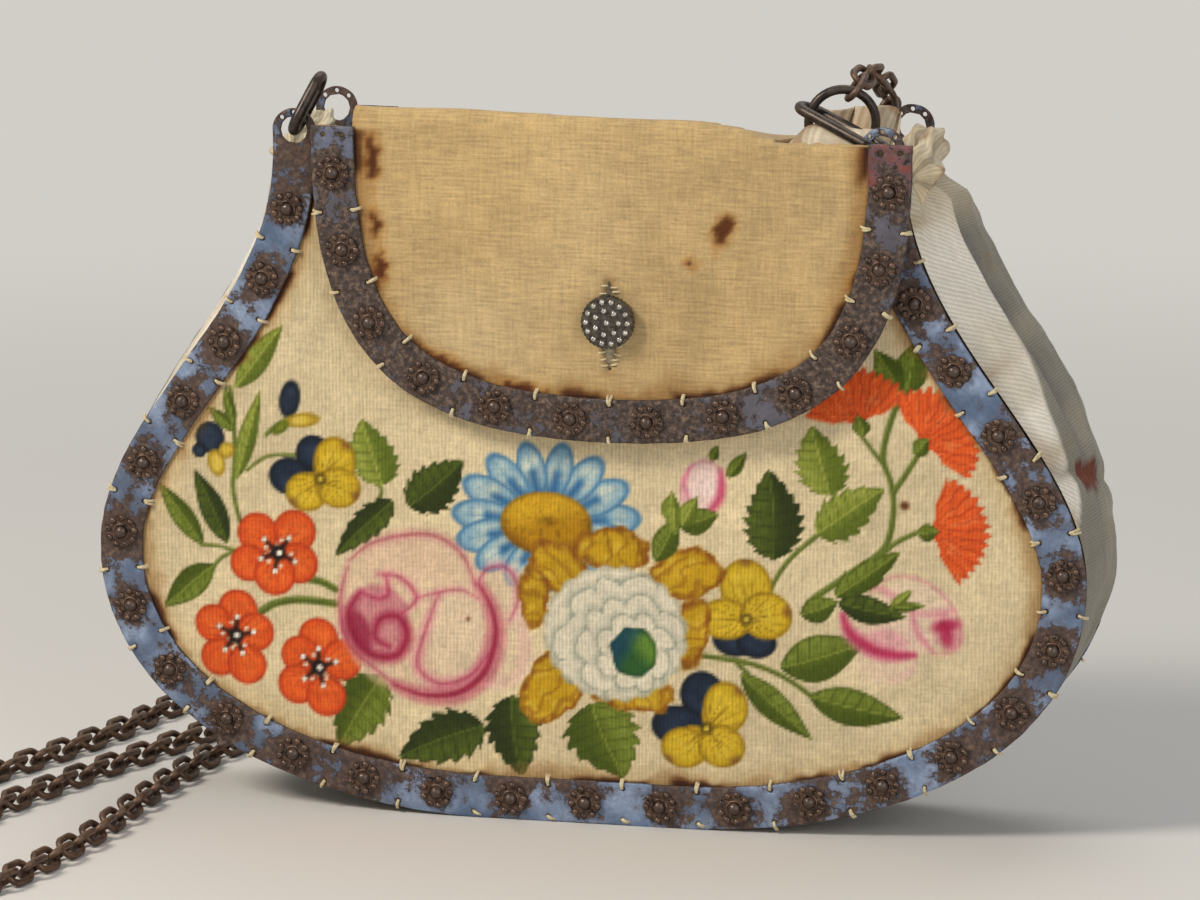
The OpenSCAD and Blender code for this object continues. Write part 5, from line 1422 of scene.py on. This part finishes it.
def makeGusset():
    half = bagHalf[bagHalf[:, 1] < gusset["top"]]
    path, out = wholeRun(half)[::2], wholeRun(outward(bagHalf)[:len(half)])[::2]
    f = np.concatenate([np.linspace(-1, gusset["weltEnd"], 26), np.linspace(gusset["weltEnd"], 1, 46)[1:]])
    s = stopsOf(path)
    gs, gf = np.meshgrid(s, f, indexing="ij")
    x, z = path[:, :1] + 0 * gf, path[:, 1:] + 0 * gf
    puff = np.where(x > 0, gusset["puffRight"], gusset["puffLeft"]) * ease(62, 116, z) * (1 - 0.2 * ease(130, 148, z))
    # tucked in under the gather
    puff = (puff + np.where(x > 0, 3.3, 1.3) * ease(36, 66, z)) * (1 - 0.8 * ease(149, 157.6, z))
    bulge = np.interp(f, [-1, -0.93, -0.7, -0.5, -0.38, -0.32, -0.2, 0.05, 0.3, 0.55, 0.8, 0.95, 1],
                      [0, 0.1, 0.42, 0.62, 0.74, 0.62, 0.7, 0.93, 1.0, 0.92, 0.6, 0.15, 0])
    deep = np.interp(np.abs(f), [0, 0.22, 0.5, 0.75, 0.93, 1],
                     [gusset["fold"], 0.7 * gusset["fold"], 0.3, 0.0, 0.2, 0.6])
    free = ease(0, 0.12, 1 - np.abs(gf))
    grey = ease(gusset["weltEnd"] - 0.02, gusset["weltEnd"] + 0.1, gf)
    crease = np.exp(-((z - 84.5 + 5 * gf) / 1.6) ** 2) * (x > 0) + 0.6 * np.exp(-((z - 72 - 4 * gf) / 1.3) ** 2)
    folds = grey * (0.5 * mottle(gs, gf * 14, 11, 3) + 0.3 * mottle(gs, gf * 26, 5, 8))
    folds = folds + 0.14 * mottle(gs, gf * 9, 5, 5)
    drawn = 1.3 * np.sin(gf * 11 + 1.5 * mottle(gs, gf * 5, 8, 2)) * ease(134, 156, z)
    lift = puff * bulge - deep * (1 - ease(35, 75, z)) + free * (folds - 1.1 * crease * ease(40, 60, z) + drawn)
    lift = np.minimum(lift, np.where(z < 12, 0.0, 20)) - gusset["gap"]
    p = path[:, None, :] + lift[:, :, None] * out[:, None, :]
    verts = np.stack([p[:, :, 0], gf * gusset["halfDepth"], p[:, :, 1]], -1).reshape(-1, 3)
    obj = makePiece("gussetSilk", verts, gridQuads(len(path), len(f)).tolist(), silk, "bag", ["gusset"])
    a, b, zz, right = gs.ravel(), gf.ravel(), z.ravel(), (x > 0).ravel()
    # the welt tapers away
    end = gusset["weltEnd"] - 0.3 * ease(118, 90, zz) - 0.45 * ease(86, 70, zz) + 0.03 * mottle(a, a * 0, 6, 44)
    # the welt's own pale silk, painted brighter still as a highlight where it faces the light
    canvas = np.tile(srgb("#F3EAD6"), (len(a), 1))
    # the grey silk behind the welt, its own grey painted darker as shade
    lay(canvas, "#8C8677", ease(-0.01, 0.04, b - end))
    # painted shade in the valley between the welt and the grey silk
    lay(canvas, "#74706A", ease(-0.34, -0.24, b) * ease(-0.05, -0.2, b) * 0.6)
    lay(canvas, "#CDBD9C", ease(138, 154, zz) * 0.75)
    lay(canvas, "#B5A98F", ease(0.1, 0.8, mottle(a, b * 16, 12, 15)) * 0.4)
    lay(canvas, "#8A6A44", ease(0.5, 0.95, mottle(a, b * 16, 8, 19)) * 0.4)
    # painted shade along the creases
    lay(canvas, "#8C8069", np.clip(crease.ravel(), 0, 1) * 0.5)
    leaf = np.minimum(np.hypot((b + 0.1) / 0.27, (zz - 84.6) / 2.8), np.hypot((b + 0.45) / 0.1, (zz - 85.6) / 3.2))
    lay(canvas, "#6A2C18", ease(1.05, 0.85, leaf + 0.12 * mottle(a, b * 16, 2, 2)) * right * 0.95)
    lay(canvas, "#3C150C", ease(1.1, 0.95, leaf) * ease(0.7, 0.95, leaf) * right * 0.7)
    tint(obj, "paint", canvas)
    slant = ease(0.02, -0.02, b - end)
    weave(obj, a * (1.7 - 0.8 * slant) + 17 * b * slant + 0.6 * mottle(a, b * 16, 10, 33), b * 16)


makeGusset()

# gathered silk at the corners of the mouth
gather = {"sizeRight": 13.4, "sizeLeft": 10.8, "xRight": 76.4, "xLeft": 73.0, "z": 157.4, "rise": 5, "reach": 15.2}


def makeGather(side, name, node, colour):
    rings, around = 80, 72
    t, a = np.meshgrid(np.linspace(0, 1, rings + 1), np.linspace(0, 2 * math.pi, around, endpoint=False), indexing="ij")
    roll = 5 * a + 3.4 * t + 0.8 * np.sin(7 * t)  # long folds that twist along the roll
    fold = 0.11 * np.sin(roll) + 0.07 * np.sin(9 * a - 4.5 * t + 1.3 * np.sin(5 * t)) + 0.05 * np.sin(3 * a + 8 * t)
    swell = 0.84 + 0.12 * np.sin(9 * t + 0.6) * np.sin(math.pi * t)
    size, middle = (gather["sizeRight"], gather["xRight"]) if side > 0 else (gather["sizeLeft"], gather["xLeft"])
    r = size / 2 * (1 - 0.25 * t) * (swell + fold) * (0.3 + 0.7 * ease(0, 0.09, np.minimum(t, 1 - t)))
    x = side * (middle + 0.5 * np.sin(6 * t) + r * np.cos(a))
    z = gather["z"] + gather["rise"] * t + r * np.sin(a)
    verts = np.stack([x, gather["reach"] * (2 * t - 1), z], -1).reshape(-1, 3)
    i = np.arange(rings)[:, None] * around + np.arange(around)[None, :]
    j = np.arange(rings)[:, None] * around + (np.arange(around)[None, :] + 1) % around
    quads = np.stack([i, j, j + around, i + around], -1).reshape(-1, 4)
    if side < 0:
        quads = quads[:, ::-1]
    caps = [list(range(around)), list(range(rings * around, (rings + 1) * around))]
    caps = [caps[0][::-1], caps[1]] if side > 0 else [caps[0], caps[1][::-1]]
    obj = makePiece(name, verts, quads.tolist() + caps, silk, "bag", [node])
    tt, aa = t.ravel(), a.ravel()
    canvas = velvetGround(tt * 30, aa * 5, colour, 160)
    # painted shade in the hollows of the folds
    lay(canvas, "#94856A", ease(-0.2, -1.0, np.sin(roll).ravel()) * 0.6)
    lay(canvas, "#7A4A22", ease(0.35, 0.85, mottle(tt * 40, aa * 4, 6, 11)) * 0.5)
    tint(obj, "paint", canvas)
    weave(obj, roll.ravel() * 1.2, tt * 30)


makeGather(1, "rightGather", "right_gather", "#D8C6A2")
makeGather(-1, "leftGather", "left_gather", "#D2C4A4")


# loose lining silk that stands up crumpled beside the flap's notch
frill = {"left": 39.0, "right": 71.0, "low": 147.0, "high": 171.5, "hidden": 161.0, "y": 5.5, "across": 76, "up": 44}
ruck = {"left": 40.0, "right": 67.5, "front": -21.5, "back": 0.0, "low": 161.0, "hidden": 164.2, "crest": 168.8,
        "across": 72, "deep": 46}


def crumpled(name, x, y, z, wave):
    verts = np.stack([x, y, z], -1).reshape(-1, 3)
    obj = makePiece(name, verts, gridQuads(*x.shape).tolist(), silk, "bag")
    px, pz = x.ravel(), z.ravel() + 0.4 * y.ravel()
    canvas = velvetGround(px, pz, "#E2D2B6", 180)
    # painted shade that follows the folds
    lay(canvas, "#B09878", ease(0.2, -0.9, np.sin(wave)).ravel() * 0.6)
    lay(canvas, "#8A5A28", ease(0.25, 0.8, mottle(px, pz, 5, 7) + 0.5 * ease(60, 66, px)) * 0.5)
    tint(obj, "paint", canvas)
    weave(obj, wave.ravel() * 1.6, z.ravel())
    thicken(obj, 0.35)


def makeFrill():
    u, v = np.meshgrid(np.linspace(0, 1, frill["across"]), np.linspace(0, 1, frill["up"]), indexing="ij")
    x = frill["left"] + u * (frill["right"] - frill["left"])
    top = frill["high"] - 1.5 * ease(0.85, 1, u) + 1.5 * mottle(u * 25, u * 0, 4, 2)
    top = frill["hidden"] + (top - frill["hidden"]) * ease(46, 54, x)  # kept under the flap at its left end
    wave = u * 17 - 3.2 * v + 2.2 * mottle(u * 12, v * 10, 4, 8)
    z = frill["low"] + v * (top - frill["low"])
    y = frill["y"] + 2.9 * np.sin(wave) * (0.3 + 0.7 * v) + 0.9 * mottle(u * 25, v * 20, 5, 4) + 3 * (v - 0.5)
    crumpled("mouthFrill", x + 1.6 * np.cos(wave) * v, y, z, wave)


def makeRuck():  # lining drawn up in a soft hump behind the notch
    u, v = np.meshgrid(np.linspace(0, 1, ruck["across"]), np.linspace(0, 1, ruck["deep"]), indexing="ij")
    x = ruck["left"] + u * (ruck["right"] - ruck["left"])
    crest = ruck["hidden"] + (ruck["crest"] - ruck["hidden"]) * ease(45, 52, x) + 0.7 * mottle(u * 25, u * 0, 5, 12)
    wave = u * 9 + 4 * v + 2.5 * mottle(u * 14, v * 9, 4, 21)
    hump = np.sin(math.pi * v ** 0.75) ** 0.8
    z = ruck["low"] + (crest - ruck["low"]) * hump + 0.7 * np.sin(wave) * hump
    y = ruck["front"] + v * (ruck["back"] - ruck["front"]) + 0.9 * np.cos(wave * 1.3) * hump
    crumpled("mouthRuck", x, y, z, wave)


makeFrill()
makeRuck()
print("silk made")

# solids kept from the part, with their finishes
for node, material in (("front_board", pasteboard), ("back_board", pasteboard), ("button", buttonSteel),
                       ("button_studs", studSteel),
                       ("button_shank", buttonSteel)):
    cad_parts[node].data.materials.clear()
    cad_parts[node].data.materials.append(material)

# plain pale floor and soft studio light
stage = {"floor": "#D9D6D0", "reach": 9.0, "nearEnd": 0.3, "farStart": 0.9}


def seenRays(tree):  # what the eye, metal and glass see, but not the light that falls on the object
    ray = addNode(tree, "ShaderNodeLightPath")
    eye = addNode(tree, "ShaderNodeMath", {0: ray.outputs["Is Camera Ray"], 1: ray.outputs["Is Glossy Ray"]},
                  operation="ADD")
    return addNode(tree, "ShaderNodeMath", {0: eye.outputs[0], 1: ray.outputs["Is Transmission Ray"]},
                   operation="ADD", use_clamp=True)


def makeStage():
    # the floor takes the object's shadow, and far from it shows its own pale colour evenly
    material, tree, shader = newMaterial("paleFloor")
    shader.inputs["Base Color"].default_value = linear(stage["floor"])
    shader.inputs["Roughness"].default_value = 0.95
    place = addNode(tree, "ShaderNodeTexCoord")
    far = addNode(tree, "ShaderNodeVectorMath", {0: place.outputs["Object"]}, operation="LENGTH")
    fade = addNode(tree, "ShaderNodeMapRange", {"Value": far.outputs["Value"], 1: stage["nearEnd"],
                                                2: stage["farStart"], 3: 0.0, 4: 1.0},
                   interpolation_type="SMOOTHSTEP")
    share = addNode(tree, "ShaderNodeMath", {0: fade.outputs[0], 1: seenRays(tree).outputs[0]}, operation="MULTIPLY")
    glow = addNode(tree, "ShaderNodeEmission", {"Color": linear(stage["floor"]), "Strength": 0.92})
    both = addNode(tree, "ShaderNodeMixShader", {0: share.outputs[0], 1: shader.outputs[0], 2: glow.outputs[0]})
    tree.links.new(both.outputs[0], tree.nodes["Material Output"].inputs["Surface"])
    r = stage["reach"]
    mesh = bpy.data.meshes.new("floor")
    mesh.from_pydata([(-r, -r, 0), (r, -r, 0), (r, r, 0), (-r, r, 0)], [], [(0, 1, 2, 3)])
    mesh.materials.append(material)
    obj = bpy.data.objects.new("floor", mesh)
    scene.collection.objects.link(obj)


def makeWorld():
    world = bpy.data.worlds.new("studio")
    scene.world = world
    world.use_nodes = True
    tree = world.node_tree
    soft = tree.nodes["Background"]
    soft.inputs["Color"].default_value = linear("#C9CCD2")
    soft.inputs["Strength"].default_value = 0.4
    pale = addNode(tree, "ShaderNodeBackground", {"Color": linear(stage["floor"]), "Strength": 0.92})
    both = addNode(tree, "ShaderNodeMixShader", {0: seenRays(tree).outputs[0], 1: soft.outputs[0], 2: pale.outputs[0]})
    tree.links.new(both.outputs[0], tree.nodes["World Output"].inputs["Surface"])


def makeLamp(name, place, aim, size, power, colour):
    data = bpy.data.lights.new(name, "AREA")
    data.energy, data.size, data.color = power, size, linear(colour)[:3]
    obj = bpy.data.objects.new(name, data)
    scene.collection.objects.link(obj)
    obj.location = place
    obj.rotation_euler = (Vector(aim) - Vector(place)).to_track_quat("-Z", "Y").to_euler()


makeStage()
makeLamp("keyLamp", (-0.75, -0.75, 0.95), (0, 0, 0.08), 0.35, 13.0, "#FFF6EA")
makeLamp("fillLamp", (0.9, -0.9, 0.5), (0, 0, 0.08), 0.9, 5.5, "#F4F6FF")
makeLamp("topLamp", (0.1, 0.5, 1.2), (0, 0, 0.08), 0.8, 4.0, "#FFFFFF")
makeWorld()
scene.view_settings.view_transform = "Standard"
print("stage lit")
